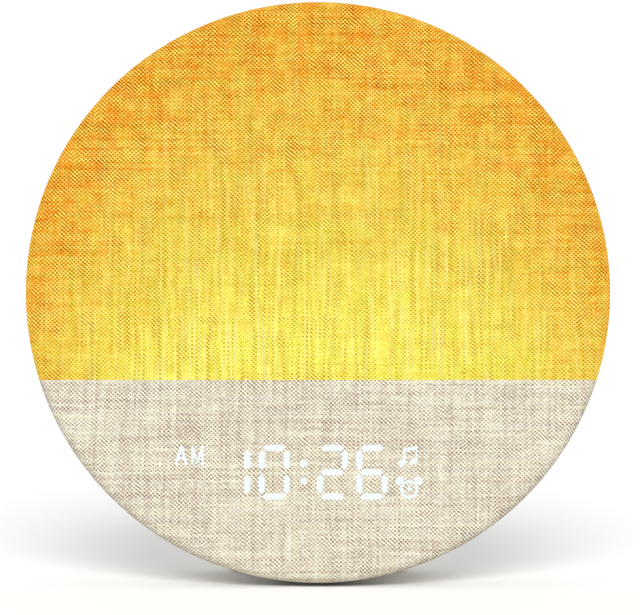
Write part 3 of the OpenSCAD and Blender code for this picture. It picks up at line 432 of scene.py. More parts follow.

# %% [markdown]
# ## Linen material
# The weave's painted highlight and shade run each colour from the dark gaps between threads to
# their bright crowns. The light of the lamps behind the cloth is painted onto it: where they shine
# through, the cloth gives off most of that colour as a glow of its own, and its base colour there is
# the same colour, dimmed to a small share. Single threads are redder or paler than their neighbours
# in the glow, and the gaps of some glow like embers. The bars of the display shine in painted plain
# white in the same way.

# %% Colours of the linen
LIGHT_STEPS = (0.05, 0.42, 0.65, 0.88)
PLAIN = ("#665c49", "#958e7b", "#b3ac9a", "#d9d2c2")
DIM = ("#983400", "#ca8204", "#f4b42c", "#ffe66e")
BRIGHT = ("#c0a41e", "#e5df46", "#fbf562", "#ffff80")
DEEP_ORANGE, EMBER, PALE_THREAD = shade("#ffb04c"), shade("#d8480c"), shade("#fff8a8")
DIGIT_WHITE = shade("#f1f8f8")
THREAD_HUE, PATCH_HUE, HUE_SCALE = 1.6, 0.7, 190.0
DEEP_SHARE, EMBER_SHARE, PALE_SHARE = 0.7, 0.5, 0.9


def shining_colour(tree, cloth, threads, warm):
    """The painted glow of the linen where the lamps shine through it."""
    light, strand = threads["Light"], add(tree, "ShaderNodeSeparateColor", {0: threads["Tint"]}).outputs
    patch = calc(tree, "SUBTRACT", noise_at(tree, cloth, HUE_SCALE, 3.0), 0.5)
    stray = grown(tree, calc(tree, "SUBTRACT", strand["Red"], 0.5), THREAD_HUE, times(tree, patch, PATCH_HUE))
    hue = grown(tree, stray, spread(tree, warm, 0.1, 0.8, 1.35, 1.0), warm)
    share = calc(tree, "MAXIMUM", hue, 0.0, clamp=True)
    colour = mixed(tree, share, ramp(tree, light, LIGHT_STEPS, DIM), ramp(tree, light, LIGHT_STEPS, BRIGHT))
    colour = mixed(tree, spread(tree, hue, 0.1, -0.4, 0.0, DEEP_SHARE), colour, DEEP_ORANGE, "MULTIPLY")
    gaps = spread(tree, light, 0.72, 0.38, 0.0, EMBER_SHARE)
    ember = times(tree, spread(tree, strand["Green"], 0.47, 0.58), gaps)
    colour = mixed(tree, ember, colour, EMBER)
    pale = calc(tree, "MULTIPLY", threads["Pale"], times(tree, warm, PALE_SHARE), clamp=True)
    return mixed(tree, pale, colour, PALE_THREAD)


print("palest thread in linear light:", [round(value, 2) for value in PALE_THREAD[:3]])

# %% Linen
CUT_SIZE = 0.232
# How strongly the cloth gives off its painted glow, and how much of the glow's colour is painted into its
# base colour as well.
GLOW, GLOW_IN_BASE, WARMTH_CURVE = 0.92, 0.08, 1.35
CLOTH_RELIEF, EDGE_WANDER, EDGE_SOFTNESS = 0.12, 0.25, 0.2
# Each row: the warmth's range, then the value where it is unlit, orange and pale yellow.
WEAVE_STRENGTH = {
    "Columns": ((0.1, 0.9), 0.22, 0.35, 0.75),
    "Depth": ((0.0, 1.0), 0.24, 0.38, 0.10),
    "Streaks": ((0.1, 0.9), 0.15, 0.24, 0.40),
}


def build_linen():
    """Joins the weave, the sunrise and the display's shapes into one cloth."""
    made, tree, shader = new_material("linen")
    glow = use(tree, sunrise, Place=use(tree, face_frame)["Place"])
    warm, lit = calc(tree, "POWER", glow["Warmth"], WARMTH_CURVE, clamp=True), glow["Lit"]
    cloth = stretch(tree, add(tree, "ShaderNodeUVMap", uv_map="cut").outputs[0], (CUT_SIZE,) * 3)
    strengths = {name: spread(tree, lit, 0, 1, unlit, spread(tree, warm, *ends, orange, yellow))
                 for name, (ends, unlit, orange, yellow) in WEAVE_STRENGTH.items()}
    threads = use(tree, weave, Cloth=cloth, **strengths)
    plain = ramp(tree, threads["Light"], LIGHT_STEPS, PLAIN)
    plain = mixed(tree, 0.18, plain, threads["Tint"], "OVERLAY")
    shining = shining_colour(tree, cloth, threads, warm)

    display = add(tree, "ShaderNodeAttribute", attribute_name="display").outputs["Fac"]
    edge = grown(tree, calc(tree, "SUBTRACT", 0.6, threads["Light"]), EDGE_WANDER, display)
    shown = spread(tree, edge, EDGE_SOFTNESS, -EDGE_SOFTNESS, smooth=True)
    # Where the lamps shine, the base colour is the painted glow's colour dimmed, and the display's bars
    # likewise.
    base = mixed(tree, lit, plain, mixed(tree, 1 - GLOW_IN_BASE, shining, BLACK))
    base = mixed(tree, shown, base, mixed(tree, 1 - GLOW_IN_BASE, DIGIT_WHITE, BLACK))
    given_off = mixed(tree, shown, mixed(tree, lit, BLACK, shining), DIGIT_WHITE)
    feed(tree, shader, {"Base Color": base, "Emission Color": given_off, "Emission Strength": GLOW,
                        "Roughness": 0.95, "Specular IOR Level": 0.05})
    raise_relief(tree, shader, threads["Height"], CLOTH_RELIEF, 0.35)
    print("linen:", len(tree.nodes), "nodes")
    return made


linen = build_linen()

# %% [markdown]
# ## The display's shapes
# The time is shown by bars, dots and two small signs. Each shape is described by its distance: how
# far a point lies outside it, negative inside. The smallest of the distances belongs to all shapes
# together, and the cloth's mesh carries it, so the edges stay sharp between its points.

# %% Distances to simple shapes


def to_stroke(points, a, b, radius):
    """Distance to a straight stroke with round ends."""
    a, b = np.array(a, float), np.array(b, float)
    share = np.clip(((points - a) @ (b - a)) / max((b - a) @ (b - a), 1e-9), 0, 1)
    return np.linalg.norm(points - (a + share[:, None] * (b - a)), axis=1) - radius


def to_outline(points, corners):
    """Distance to a filled outline whose corners are convex and run anticlockwise."""
    corners = np.array(corners, float)
    sides = np.roll(corners, -1, axis=0) - corners
    outward = np.stack([sides[:, 1], -sides[:, 0]], 1) / np.linalg.norm(sides, axis=1)[:, None]
    return np.max([(points - c) @ n for c, n in zip(corners, outward)], axis=0)


def to_ring(points, centre, radius, half_width):
    """Distance to a circle drawn with a pen."""
    return np.abs(np.linalg.norm(points - np.array(centre), axis=1) - radius) - half_width


# %% Bars of the digits
DIGIT_HEIGHT, DIGIT_WIDTH, BAR_WIDTH, LEVEL_LAND, UPRIGHT_LAND = 17.3, 9.9, 2.0, 0.35, 0.9
DISPLAY_Z = -58.3
DIGIT_X = (-26.25, -13.75, 4.55, 17.0)
COLON_X, COLON_SPREAD, COLON_RADIUS = -4.5, 2.8, 1.15
BARS_OF = {"0": "abcdef", "1": "bc", "2": "abged", "6": "acdefg"}
TIME_SHOWN = "1026"


def bar_corners(centre, length, upright):
    """The six corners of a bar with pointed ends."""
    a, b = length / 2, BAR_WIDTH / 2
    corners = [(-a, 0), (b - a, -b), (a - b, -b), (a, 0), (a - b, b), (b - a, b)]
    if upright:
        corners = [(-z, x) for x, z in corners]
    return [(centre[0] + x, centre[1] + z) for x, z in corners]


def digit_bars(x, z, digit):
    """The outlines of the bars that are lit for a digit."""
    side, rise = (DIGIT_WIDTH - BAR_WIDTH) / 2, (DIGIT_HEIGHT - BAR_WIDTH) / 2
    level, tall = 2 * side - LEVEL_LAND * math.sqrt(2), rise - UPRIGHT_LAND * math.sqrt(2)
    places = {"a": (0, rise, level, False), "g": (0, 0, level, False), "d": (0, -rise, level, False),
              "b": (side, rise / 2, tall, True), "c": (side, -rise / 2, tall, True),
              "f": (-side, rise / 2, tall, True), "e": (-side, -rise / 2, tall, True)}
    return [bar_corners((x + dx, z + dz), length, upright)
            for dx, dz, length, upright in (places[name] for name in BARS_OF[digit])]


print("lit bars:", sum(len(BARS_OF[digit]) for digit in TIME_SHOWN))

# %% Letters and small signs
TOP, FOOT, LETTER_PEN = -50.3, -55.6, 0.44
LETTER_A = [((-44.8, FOOT), (-43.0, TOP)), ((-43.0, TOP), (-41.5, FOOT)), ((-44.1, -53.9), (-42.0, -53.9))]
LETTER_M = [((-39.6, FOOT), (-39.6, TOP)), ((-39.6, TOP), (-38.0, -55.2)),
            ((-38.0, -55.2), (-36.4, TOP)), ((-36.4, TOP), (-36.4, FOOT))]
# Each stroke below: where it starts, where it ends and half its width.
BEAMED_NOTES = [((26.2, -55.6), (26.7, -55.4), 0.95), ((29.9, -55.0), (30.5, -54.8), 0.95),
                ((27.2, -55.3), (27.2, -51.4), 0.36), ((31.1, -54.8), (31.1, -50.5), 0.36),
                ((27.3, -51.4), (31.0, -50.6), 0.6)]
ALARM_MIDDLE, ALARM_RADIUS, ALARM_PEN = (28.7, -63.7), 2.45, 0.5
HANDS_AND_BELLS = [(ALARM_MIDDLE, (28.7, -62.5), 0.38), (ALARM_MIDDLE, (29.6, -63.7), 0.38),
                   ((25.4, -61.3), (25.9, -60.8), 1.15), ((31.5, -60.8), (32.0, -61.3), 1.15)]
strokes_shown = [(a, b, LETTER_PEN) for a, b in LETTER_A + LETTER_M] + BEAMED_NOTES + HANDS_AND_BELLS
print("strokes beside the time:", len(strokes_shown))

# %% All lit shapes together
FURTHEST = 2.0


def display_distance(points):
    """Distance in millimetres to the nearest lit shape, for points given as x and z on the face."""
    found = [to_outline(points, corners)
             for x, digit in zip(DIGIT_X, TIME_SHOWN) for corners in digit_bars(x, DISPLAY_Z, digit)]
    found += [to_stroke(points, (COLON_X, DISPLAY_Z + s), (COLON_X, DISPLAY_Z + s), COLON_RADIUS)
              for s in (-COLON_SPREAD, COLON_SPREAD)]
    found += [to_stroke(points, a, b, half_width) for a, b, half_width in strokes_shown]
    found.append(to_ring(points, ALARM_MIDDLE, ALARM_RADIUS, ALARM_PEN))
    return np.clip(np.min(found, axis=0), -FURTHEST, FURTHEST)


print("distance at the middle of the colon:", display_distance(np.array([[COLON_X, DISPLAY_Z]])).round(2))

# %% [markdown]
# ## The linen cover
# The cover was cut as a disc and pulled over the round frame, and its hem is folded in behind.
# A turned outline gives the rounded edge, the rim and the hem. The flat face gets a fine net of
# points where the display shines, and large triangles elsewhere. A Solidify modifier adds the
# cloth's thickness inwards.

# %% Outline of the cover
EDGE_RADIUS, COVER_DEPTH, RIM_DRAW, HEM_INNER = 3.5, 14.0, 1.3, 83.8
REAR_RADIUS = 0.7
EDGE_STEPS, REAR_STEPS, HEM_STEPS = 14, 5, 4
AROUND = 288
CLOTH_THICKNESS = 0.85 * MM
FLAT_RADIUS = FACE_RADIUS - EDGE_RADIUS


def cover_outline():
    """Radius, depth and distance along the cloth, from the flat face's edge to the end of the hem."""
    rows = [(FLAT_RADIUS + EDGE_RADIUS * math.sin(a), EDGE_RADIUS * (1 - math.cos(a)))
            for a in np.linspace(0, math.pi / 2, EDGE_STEPS + 1)]
    for share in (0.25, 0.5, 0.75):
        depth = EDGE_RADIUS + share * (COVER_DEPTH - REAR_RADIUS - EDGE_RADIUS)
        rows.append((FACE_RADIUS - RIM_DRAW * (depth - EDGE_RADIUS) / (COVER_DEPTH - EDGE_RADIUS), depth))
    inner, back = FACE_RADIUS - RIM_DRAW - REAR_RADIUS, COVER_DEPTH - REAR_RADIUS
    rows += [(inner + REAR_RADIUS * math.cos(a), back + REAR_RADIUS * math.sin(a))
             for a in np.linspace(0, math.pi / 2, REAR_STEPS + 1)]
    rows += [(radius, COVER_DEPTH) for radius in np.linspace(inner, HEM_INNER, HEM_STEPS + 1)[1:]]
    travel = [FLAT_RADIUS]
    for (r0, d0), (r1, d1) in zip(rows, rows[1:]):
        travel.append(travel[-1] + math.hypot(r1 - r0, d1 - d0))
    return [(r, d, s) for (r, d), s in zip(rows, travel)]


outline = cover_outline()

# %% Net of the flat face
NET_STEP, NET_X, NET_Z = 0.4, (-47.2, 34.8), (-67.6, -47.6)
WIDE_STEP, MARGIN = 7.0, 4


def in_net(x, z, margin=0):
    """Whether a point lies in the net, or within a margin of it."""
    return (NET_X[0] - margin < x < NET_X[1] + margin) and (NET_Z[0] - margin < z < NET_Z[1] + margin)


def flat_face():
    """Points in x and z, and faces, of the flat disc with its fine net."""
    ring = [(FLAT_RADIUS * math.cos(a), FLAT_RADIUS * math.sin(a))
            for a in np.arange(AROUND) * 2 * math.pi / AROUND]
    xs, zs = [np.linspace(a, b, round((b - a) / NET_STEP) + 1) for a, b in (NET_X, NET_Z)]
    border = ([(x, zs[0]) for x in xs] + [(xs[-1], z) for z in zs[1:]]
              + [(x, zs[-1]) for x in xs[-2::-1]] + [(xs[0], z) for z in zs[-2:0:-1]])
    wide = np.arange(-12, 13) * WIDE_STEP
    spare = [(x, z) for x in wide for z in wide
             if math.hypot(x, z) < FLAT_RADIUS - MARGIN and not in_net(x, z, MARGIN)]
    given = [Vector(p) for p in ring + border + spare]
    sides = ([(i, (i + 1) % AROUND) for i in range(AROUND)]
             + [(AROUND + i, AROUND + (i + 1) % len(border)) for i in range(len(border))])
    points, _, faces, *_ = delaunay_2d_cdt(given, sides, [], 0, 1e-6)
    assert len(points) == len(given), "the net's border crosses the ring"
    middle = lambda face: sum((points[i] for i in face), Vector((0, 0))) / len(face)
    outside = [face for face in faces if not in_net(*middle(face))]
    near = lambda x, z: (round(x, 4), round(z, 4))
    number = {near(x, z): AROUND + i for i, (x, z) in enumerate(border)}
    places = [tuple(p) for p in given]
    for x, z in ((x, z) for z in zs for x in xs):
        if near(x, z) not in number:
            number[near(x, z)] = len(places)
            places.append((x, z))
    at = lambda i, j: number[near(xs[i], zs[j])]
    squares = [[at(i, j), at(i + 1, j), at(i + 1, j + 1), at(i, j + 1)]
               for j in range(len(zs) - 1) for i in range(len(xs) - 1)]
    return places, outside + squares


face_places, face_faces = flat_face()
print("flat face:", len(face_places), "points,", len(face_faces), "faces")

# %% Mesh of the cover


def make_cover():
    """The linen as one mesh, with its flat cut as a UV map and the display's distances."""
    places = [on_face(x, 0, z) for x, z in face_places]
    flat = list(face_places)
    faces = [list(face) for face in face_faces]
    before = list(range(AROUND))
    for radius, depth, travel in outline[1:]:
        now = []
        for k in range(AROUND):
            angle = 2 * math.pi * k / AROUND
            now.append(len(places))
            places.append(on_face(radius * math.cos(angle), depth, radius * math.sin(angle)))
            flat.append((travel * math.cos(angle), travel * math.sin(angle)))
        faces += [[before[k], before[(k + 1) % AROUND], now[(k + 1) % AROUND], now[k]][::-1]
                  for k in range(AROUND)]
        before = now
    mesh = bpy.data.meshes.new("linen_cover")
    mesh.from_pydata(places, [], faces)
    uv = mesh.uv_layers.new(name="cut")
    flat = np.array(flat) * MM / CUT_SIZE + 0.5
    corner = np.empty(len(mesh.loops), int)
    mesh.loops.foreach_get("vertex_index", corner)
    uv.uv.foreach_set("vector", flat[corner].astype(np.float32).ravel())
    distance = np.full(len(places), FURTHEST, np.float32)
    distance[:len(face_places)] = display_distance(np.array(face_places))
    mesh.attributes.new("display", "FLOAT", "POINT").data.foreach_set("value", distance)
    mesh.shade_smooth()
    return mesh


cover = bpy.data.objects.new("linen_cover", make_cover())
scene.collection.objects.link(cover)
cover.data.materials.append(linen)
front = sum(p.area for p in cover.data.polygons if p.normal.y < -0.9)
whole = sum(p.area for p in cover.data.polygons)
print("cloth area in square metres:", round(whole, 4), "front", round(front, 4))

# %% Thickness and fixing of the cover
thickness = cover.modifiers.new("thickness", "SOLIDIFY")
thickness.thickness = CLOTH_THICKNESS
thickness.offset = -1
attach(cover, "clock")
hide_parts("fabric_cover")
print("cloth thickness in mm:", round(CLOTH_THICKNESS / MM, 2))

# %% [markdown]
# ## Moulded plastic and rubber
# Most pieces are injection moulded. The mould is spark eroded, so it leaves a fine grain on the
# plastic, the colour drifts a little over a large piece, and dust settles on whatever faces up. One
# group gives all three, and each material sets its own colour, grain and dust.

# %% Group for moulded skins
GREY = (0.8, 0.8, 0.8, 1)
DUST = shade("#b5afa2")
DRIFT_ENDS, SPECK_ENDS, DUSTY_ABOVE = (0.35, 0.65), (0.42, 0.66), 0.45
LOOK = {"Tint": GREY, "Rough": 0.5, "Height": 0.0}


def toned(tree, colour, factor):
    """A colour made lighter or darker by a factor."""
    return add(tree, "ShaderNodeVectorMath", {0: colour, "Scale": factor}, operation="SCALE").outputs[0]


def facing_parts(tree):
    """The X, Y and Z of the way that a surface faces."""
    return split(tree, add(tree, "ShaderNodeNewGeometry").outputs["Normal"])


def build_skin(tree, given):
    """Slow drift of the colour, a fine grain, and dust on what faces up."""
    place = use(tree, face_frame)["Place"]
    slow = noise_at(tree, place, 35.0, 3.0)
    fine = noise_at(tree, place, calc(tree, "DIVIDE", 1.0, given["Grain"]))
    specks = spread(tree, noise_at(tree, place, 700.0, 4.0), *SPECK_ENDS)
    settled = spread(tree, facing_parts(tree)["Z"], DUSTY_ABOVE, 1.0)
    dust = times(tree, settled, specks, given["Dust"])
    even = toned(tree, given["Colour"], spread(tree, slow, *DRIFT_ENDS, 0.94, 1.04))
    rough = calc(tree, "ADD", given["Base"], spread(tree, slow, *DRIFT_ENDS, -0.05, 0.05))
    rough = calc(tree, "ADD", rough, times(tree, dust, 0.6))
    return {"Tint": mixed(tree, dust, even, DUST), "Rough": rough, "Height": fine}


skin = make_group(
    "moulded_skin", {"Colour": GREY, "Grain": 0.0004, "Base": 0.5, "Dust": 0.15}, LOOK, build_skin)

# %% Moulded materials
PLACES = {"Tint": "Base Color", "Rough": "Roughness", "Metal": "Metallic"}
materials = {}


def finish(name, group, relief_mm, **settings):
    """Makes a material whose look comes from one group, and returns its shader."""
    made, tree, shader = new_material(name)
    looks = use(tree, group, **settings)
    feed(tree, shader, {socket: looks[label] for label, socket in PLACES.items() if label in looks})
    raise_relief(tree, shader, looks["Height"], relief_mm, 0.6)
    materials[name] = made
    return shader


# Each row: colour, grain in metres, roughness, dust, relief in millimetres.
MOULDED = {
    "casing_plastic": ("#ece8df", 0.00035, 0.55, 0.10, 0.035),
    "key_plastic": ("#dcd8ce", 0.00025, 0.42, 0.05, 0.015),
    "frame_plastic": ("#e6e3db", 0.0005, 0.50, 0.12, 0.02),
    "white_plastic": ("#f1f0ec", 0.0005, 0.45, 0.05, 0.015),
    "black_plastic": ("#1c1d20", 0.0004, 0.48, 0.16, 0.025),
    "dark_mask": ("#2b2b2c", 0.0004, 0.60, 0.08, 0.02),
    "rubber": ("#39393b", 0.0006, 0.78, 0.20, 0.05),
    "dark_metal": ("#3a3b3e", 0.0003, 0.40, 0.18, 0.02),
    "grille_metal": ("#dedad1", 0.0006, 0.46, 0.12, 0.04),
}
for name, (code, grain, rough, dust, relief) in MOULDED.items():
    finish(name, skin, relief, Colour=shade(code), Grain=grain, Base=rough, Dust=dust)
print("moulded materials:", ", ".join(materials))

# %% [markdown]
# ## Bare metal
# Screws are zinc plated, the speaker's poles are turned and the coin cell is brushed nickel. Tools
# leave fine lines that all run one way, so the noise is stretched along that way. Handling leaves
# slow stains where the metal is a little duller.

# %% Group for worn metal
LINE_SCALE, STAIN_SCALE = 5000.0, 180.0


def build_metal(tree, given):
    """Fine lines along the tool's way, and slow stains."""
    place = use(tree, face_frame)["Place"]
    lines = noise_at(tree, stretch(tree, place, given["Lay"]), LINE_SCALE)
    stain = noise_at(tree, place, STAIN_SCALE, 4.0)
    tint = toned(tree, given["Colour"], follow(tree, stain, 0.84, 1.04))
    rough = calc(tree, "ADD", given["Base"], follow(tree, lines, -0.06, 0.10))
    rough = calc(tree, "ADD", rough, follow(tree, stain, 0.08, -0.02))
    return {"Tint": tint, "Rough": rough, "Height": lines}


metal = make_group("worn_metal", {"Colour": GREY, "Lay": (1.0, 1.0, 1.0), "Base": 0.3}, LOOK, build_metal)
# Each row: colour, how far the lines are stretched across, in and up, roughness.
METALS = {
    "steel": ("#b4b6b9", (1.0, 0.08, 1.0), 0.28),
    "cell_steel": ("#c9cbce", (0.04, 1.0, 1.0), 0.24),
}
for name, (code, lay, rough) in METALS.items():
    shader = finish(name, metal, 0.01, Colour=shade(code), Lay=lay, Base=rough)
    shader.inputs["Metallic"].default_value = 1.0
print("metals:", ", ".join(METALS))

# %% [markdown]
# ## Circuit boards
# A board is glass fibre laminate under green solder mask. Etched copper tracks stand a little proud
# below the mask and look paler, and round pads stay free of it and are tinned. The tracks are laid
# out in square tiles: each tile has two slanted pieces of track and is turned one way or the other,
# so neighbouring tiles always join up.

# %% Board
TRACK_ENDS, PAD_ENDS, PADS_ABOVE = (0.16, 0.12), (0.22, 0.19), 0.84
MASK, TRACK, TINNED = shade("#123d26"), shade("#2b6a44"), shade("#c9ccd0")


def apart(tree, first, second):
    """How far two values lie from each other."""
    return calc(tree, "ABSOLUTE", calc(tree, "SUBTRACT", first, second))


def build_board(tree, given):
    """Turns each tile one way or the other, and finds its tracks and its pad."""
    place = split(tree, use(tree, face_frame)["Place"])
    level = calc(tree, "ADD", place["Y"], place["Z"])
    scaled = [calc(tree, "DIVIDE", value, given["Tile"]) for value in (place["X"], level)]
    cells = [calc(tree, "FLOOR", value) for value in scaled]
    u, v = [calc(tree, "FRACT", value) for value in scaled]
    cell = add(tree, "ShaderNodeCombineXYZ", {"X": cells[0], "Y": cells[1]}).outputs[0]
    chance = add(tree, "ShaderNodeTexWhiteNoise", {"Vector": cell})
    turned = calc(tree, "GREATER_THAN", chance.outputs["Value"], 0.5)
    slant = calc(tree, "ADD", apart(tree, turned, u), v)
    track = spread(tree, apart(tree, apart(tree, slant, 1.0), 0.5), *TRACK_ENDS)
    middle = [calc(tree, "POWER", calc(tree, "SUBTRACT", value, 0.5), 2.0) for value in (u, v)]
    away = calc(tree, "SQRT", calc(tree, "ADD", *middle))
    chosen = add(tree, "ShaderNodeSeparateColor", {0: chance.outputs["Color"]}).outputs["Green"]
    pad = times(tree, spread(tree, away, *PAD_ENDS), calc(tree, "GREATER_THAN", chosen, PADS_ABOVE))
    tint = mixed(tree, pad, mixed(tree, track, MASK, TRACK), TINNED)
    rough = spread(tree, pad, 0, 1, 0.36, 0.22)
    return {"Tint": tint, "Rough": rough, "Height": calc(tree, "ADD", track, pad), "Metal": pad}


board = make_group("board_copper", {"Tile": 0.0022}, {**LOOK, "Metal": 0.0}, build_board)
finish("board", board, 0.03)

# %% [markdown]
# ## Speaker
# The cone is pressed from paper pulp, so it shows fibres and faint rings round its axis. The coil is
# wound from enamelled copper wire, the magnet is sintered ferrite with a speckled, dull surface, and
# the gasket is foam with closed cells.

# %% Speaker materials
SPEAKER_X, SPEAKER_Z = 0.0, 22.0 * MM
RING_PITCH, WIRE_PITCH = 1.3 * MM, 0.35 * MM


def patterned(name, pattern, relief_mm, metallic=0.0):
    """Makes a material from a pattern, which gives its colour, roughness and height."""
    made, tree, shader = new_material(name)
    tint, rough, height = pattern(tree, use(tree, face_frame)["Place"])
    feed(tree, shader, {"Base Color": tint, "Roughness": rough, "Metallic": metallic})
    raise_relief(tree, shader, height, relief_mm, 0.7)
    materials[name] = made
    return tree, shader


def clouded(scale, detail, dark, bright, smoother, rougher):
    """A pattern whose colour and roughness follow one noise."""
    def look(tree, place):
        cloud = noise_at(tree, place, scale, detail)
        return two_tone(tree, cloud, dark, bright), follow(tree, cloud, smoother, rougher), cloud

    return look


def paper_look(tree, place):
    """Fibres, with faint rings round the speaker's axis."""
    at = split(tree, place)
    across = calc(tree, "SUBTRACT", at["X"], SPEAKER_X)
    up = calc(tree, "SUBTRACT", at["Z"], SPEAKER_Z)
    squares = [calc(tree, "POWER", value, 2.0) for value in (across, up)]
    radius = calc(tree, "SQRT", calc(tree, "ADD", *squares))
    ring = calc(tree, "SINE", times(tree, radius, 2 * math.pi / RING_PITCH))
    fibre = noise_at(tree, place, 2600.0, 6.0)
    height = grown(tree, ring, 0.12, fibre)
    return two_tone(tree, fibre, "#1f1d1b", "#3a3632"), follow(tree, fibre, 0.75, 0.95), height


def copper_look(tree, place):
    """Turns of wire, one behind the other, with painted shade between them and a painted highlight on each.
    """
    wind = calc(tree, "SINE", times(tree, split(tree, place)["Y"], 2 * math.pi / WIRE_PITCH))
    # The colour runs from painted shade in the groove between turns to a painted highlight on each crown.
    colour = ramp(tree, spread(tree, wind, -1, 1), (0, 1), ("#7a4017", "#c98148"))
    return colour, spread(tree, wind, -1, 1, 0.45, 0.25), wind


def foam_look(tree, place):
    """Small closed cells, with painted shade in each cell's hollow."""
    cells = add(tree, "ShaderNodeTexVoronoi", {"Vector": place, "Scale": 1600.0}).outputs["Distance"]
    # Darker towards the middle of each cell, where its hollow is: painted shade.
    colour = ramp(tree, cells, (0.1, 0.7), ("#202022", "#48484b"))
    return colour, spread(tree, cells, 0, 1, 0.95, 0.8), cells


patterned("paper", paper_look, 0.05)
patterned("copper", copper_look, 0.08, 1.0)
patterned("ferrite", clouded(1800.0, 5.0, "#2c2c30", "#4b4b50", 0.6, 0.85), 0.03)
patterned("foam", foam_look, 0.15)
print("materials so far:", len(materials))

# %% [markdown]
# ## Lamps, diffuser, cans and leads
# A lamp is a white case with a window of yellow phosphor on the side that shines. The opal diffuser
# spreads the lamps' light, which is painted onto it as its own glow in the sunrise's colours, and the
# clear filling of the display's wells gets a painted white glow. A capacitor's can is aluminium under
# a dark sleeve that leaves its end bare.
# Every lead has one insulation colour, which is picked for each separate strand.

# %% Electrical materials


def lamp_look(tree, place):
    """Yellow where it faces up or forwards and shines, and white elsewhere."""
    parts = facing_parts(tree)
    up, forwards = spread(tree, parts["Z"], 0.85, 0.95), spread(tree, parts["Y"], -0.85, -0.95)
    shines = calc(tree, "MAXIMUM", up, forwards)
    grit = noise_at(tree, place, 4000.0, 3.0)
    colour = mixed(tree, shines, two_tone(tree, grit, "#e4e2dc", "#f6f5f1"),
                   two_tone(tree, grit, "#d9a81e", "#f4d34a"))
    return colour, follow(tree, grit, 0.25, 0.45), grit


def can_look(tree, place):
    """A dark sleeve, and bare aluminium on the ends."""
    end = spread(tree, calc(tree, "ABSOLUTE", facing_parts(tree)["Y"]), 0.80, 0.95)
    lines = noise_at(tree, place, 3000.0)
    colour = mixed(tree, end, two_tone(tree, lines, "#22304a", "#34466a"),
                   two_tone(tree, lines, "#a9acb0", "#d2d4d7"))
    return colour, follow(tree, lines, 0.25, 0.4), lines


def lead_look(tree, place):
    """One insulation colour for each strand, with fine ridges."""
    strand = add(tree, "ShaderNodeNewGeometry").outputs["Random Per Island"]
    colour = ramp(tree, strand, (0, 0.25, 0.5, 0.75), ("#9c2a22", "#1e1f22", "#d8d4c8", "#c79a2a"))
    ridges = noise_at(tree, place, 2400.0, 3.0)
    colour = toned(tree, colour, follow(tree, ridges, 0.92, 1.05))
    return colour, follow(tree, ridges, 0.3, 0.45), ridges


patterned("lamp", lamp_look, 0.01)
patterned("can", can_look, 0.01)
patterned("lead", lead_look, 0.02)
print("materials so far:", len(materials))

# %% Display filling and diffuser
# Strengths of the painted glows of the display's filling and of the diffuser.
FILLING_GLOW, DIFFUSER_GLOW = 0.5, 0.6
DAWN_ORANGE, DAWN_YELLOW = shade("#ee9a24"), shade("#fdf27a")

tree, shader = patterned("segment", clouded(900.0, 3.0, "#e9f1f5", "#ffffff", 0.15, 0.3), 0.005)
cloud = noise_at(tree, use(tree, face_frame)["Place"], 300.0)
glow = two_tone(tree, cloud, "#cfdde6", "#ffffff")
feed(tree, shader, {"Emission Color": glow, "Emission Strength": FILLING_GLOW})

tree, shader = patterned("opal", clouded(140.0, 3.0, "#f3edda", "#fbf8ee", 0.4, 0.55), 0.01)
dawn = use(tree, sunrise, Place=use(tree, face_frame)["Place"])
glow = mixed(tree, dawn["Lit"], BLACK, mixed(tree, dawn["Warmth"], DAWN_ORANGE, DAWN_YELLOW))
feed(tree, shader, {"Emission Color": glow, "Emission Strength": DIFFUSER_GLOW})
print("materials:", len(materials))

# %% Finishes onto the solids
slot_of = {row["node"]: row["material_slot"] for row in frame["record"]["subparts"]}
finished = [name for name in frame["nodes"] if slot_of[name] in materials]
for name in finished:
    solid = frame["nodes"][name]
    solid.data.materials.clear()
    solid.data.materials.append(materials[slot_of[name]])
print("solids finished:", len(finished), "of", len(frame["nodes"]))

# %% [markdown]
# ## Signs on the keys
# The keys carry printed signs instead of words: a moon for snooze, a sun for the light, a note for
# the sound, a clock and a bell, and plus and minus. Pad printing lays a film of ink on the curved
# key. Each sign is drawn as strokes, cut into short steps, and every point is dropped onto the
# key's own surface, so the film follows the curve.

# %% Strokes of the signs
ARC_STEP = 12


def arc(x, y, radius, start, end):
    """Points along an arc, with angles in degrees."""
    steps = max(4, round(abs(end - start) / ARC_STEP))
    return [(x + radius * math.cos(math.radians(a)), y + radius * math.sin(math.radians(a)))
            for a in np.linspace(start, end, steps + 1)]


def rays(count, inner, outer):
    """Short strokes that point away from the middle on all sides."""
    return [[(radius * math.cos(a), radius * math.sin(a)) for radius in (inner, outer)]
            for a in np.arange(count) * 2 * math.pi / count]


PLUS = [[(-1.7, 0), (1.7, 0)], [(0, 0.25), (0, 1.7)], [(0, -0.25), (0, -1.7)]]
MINUS = [[(-1.7, 0), (1.7, 0)]]
SIGNS = {
    "snooze": [arc(0, 0, 2.1, 50, 310), arc(1.55, 0, 1.66, 104, 256)],
    "light": [arc(0, 0, 1.05, 0, 360)] + rays(8, 1.6, 2.3),
    "sound": [arc(-0.6, -1.5, 0.6, 0, 360), [(0.2, -1.5), (0.2, 1.9)], [(0.45, 1.8), (1.4, 1.2)]],
    "volume_up": PLUS,
    "volume_down": MINUS,
    "time": [arc(0, 0, 2.1, 0, 360), [(0, 0), (0, 1.3)], [(0.3, 0), (1.1, 0)]],
    "alarm": [arc(0, 0.4, 1.4, 0, 180) + [(-1.8, -1.2)], [(1.4, 0.4), (1.8, -1.2)],
              [(-1.9, -1.45), (1.9, -1.45)], [(-0.35, -2.0), (0.35, -2.0)]],
    "plus": PLUS,
    "minus": MINUS,
}
REAR_KEYS = ("time", "alarm", "plus", "minus")
print("strokes:", {name: len(strokes) for name, strokes in SIGNS.items()})

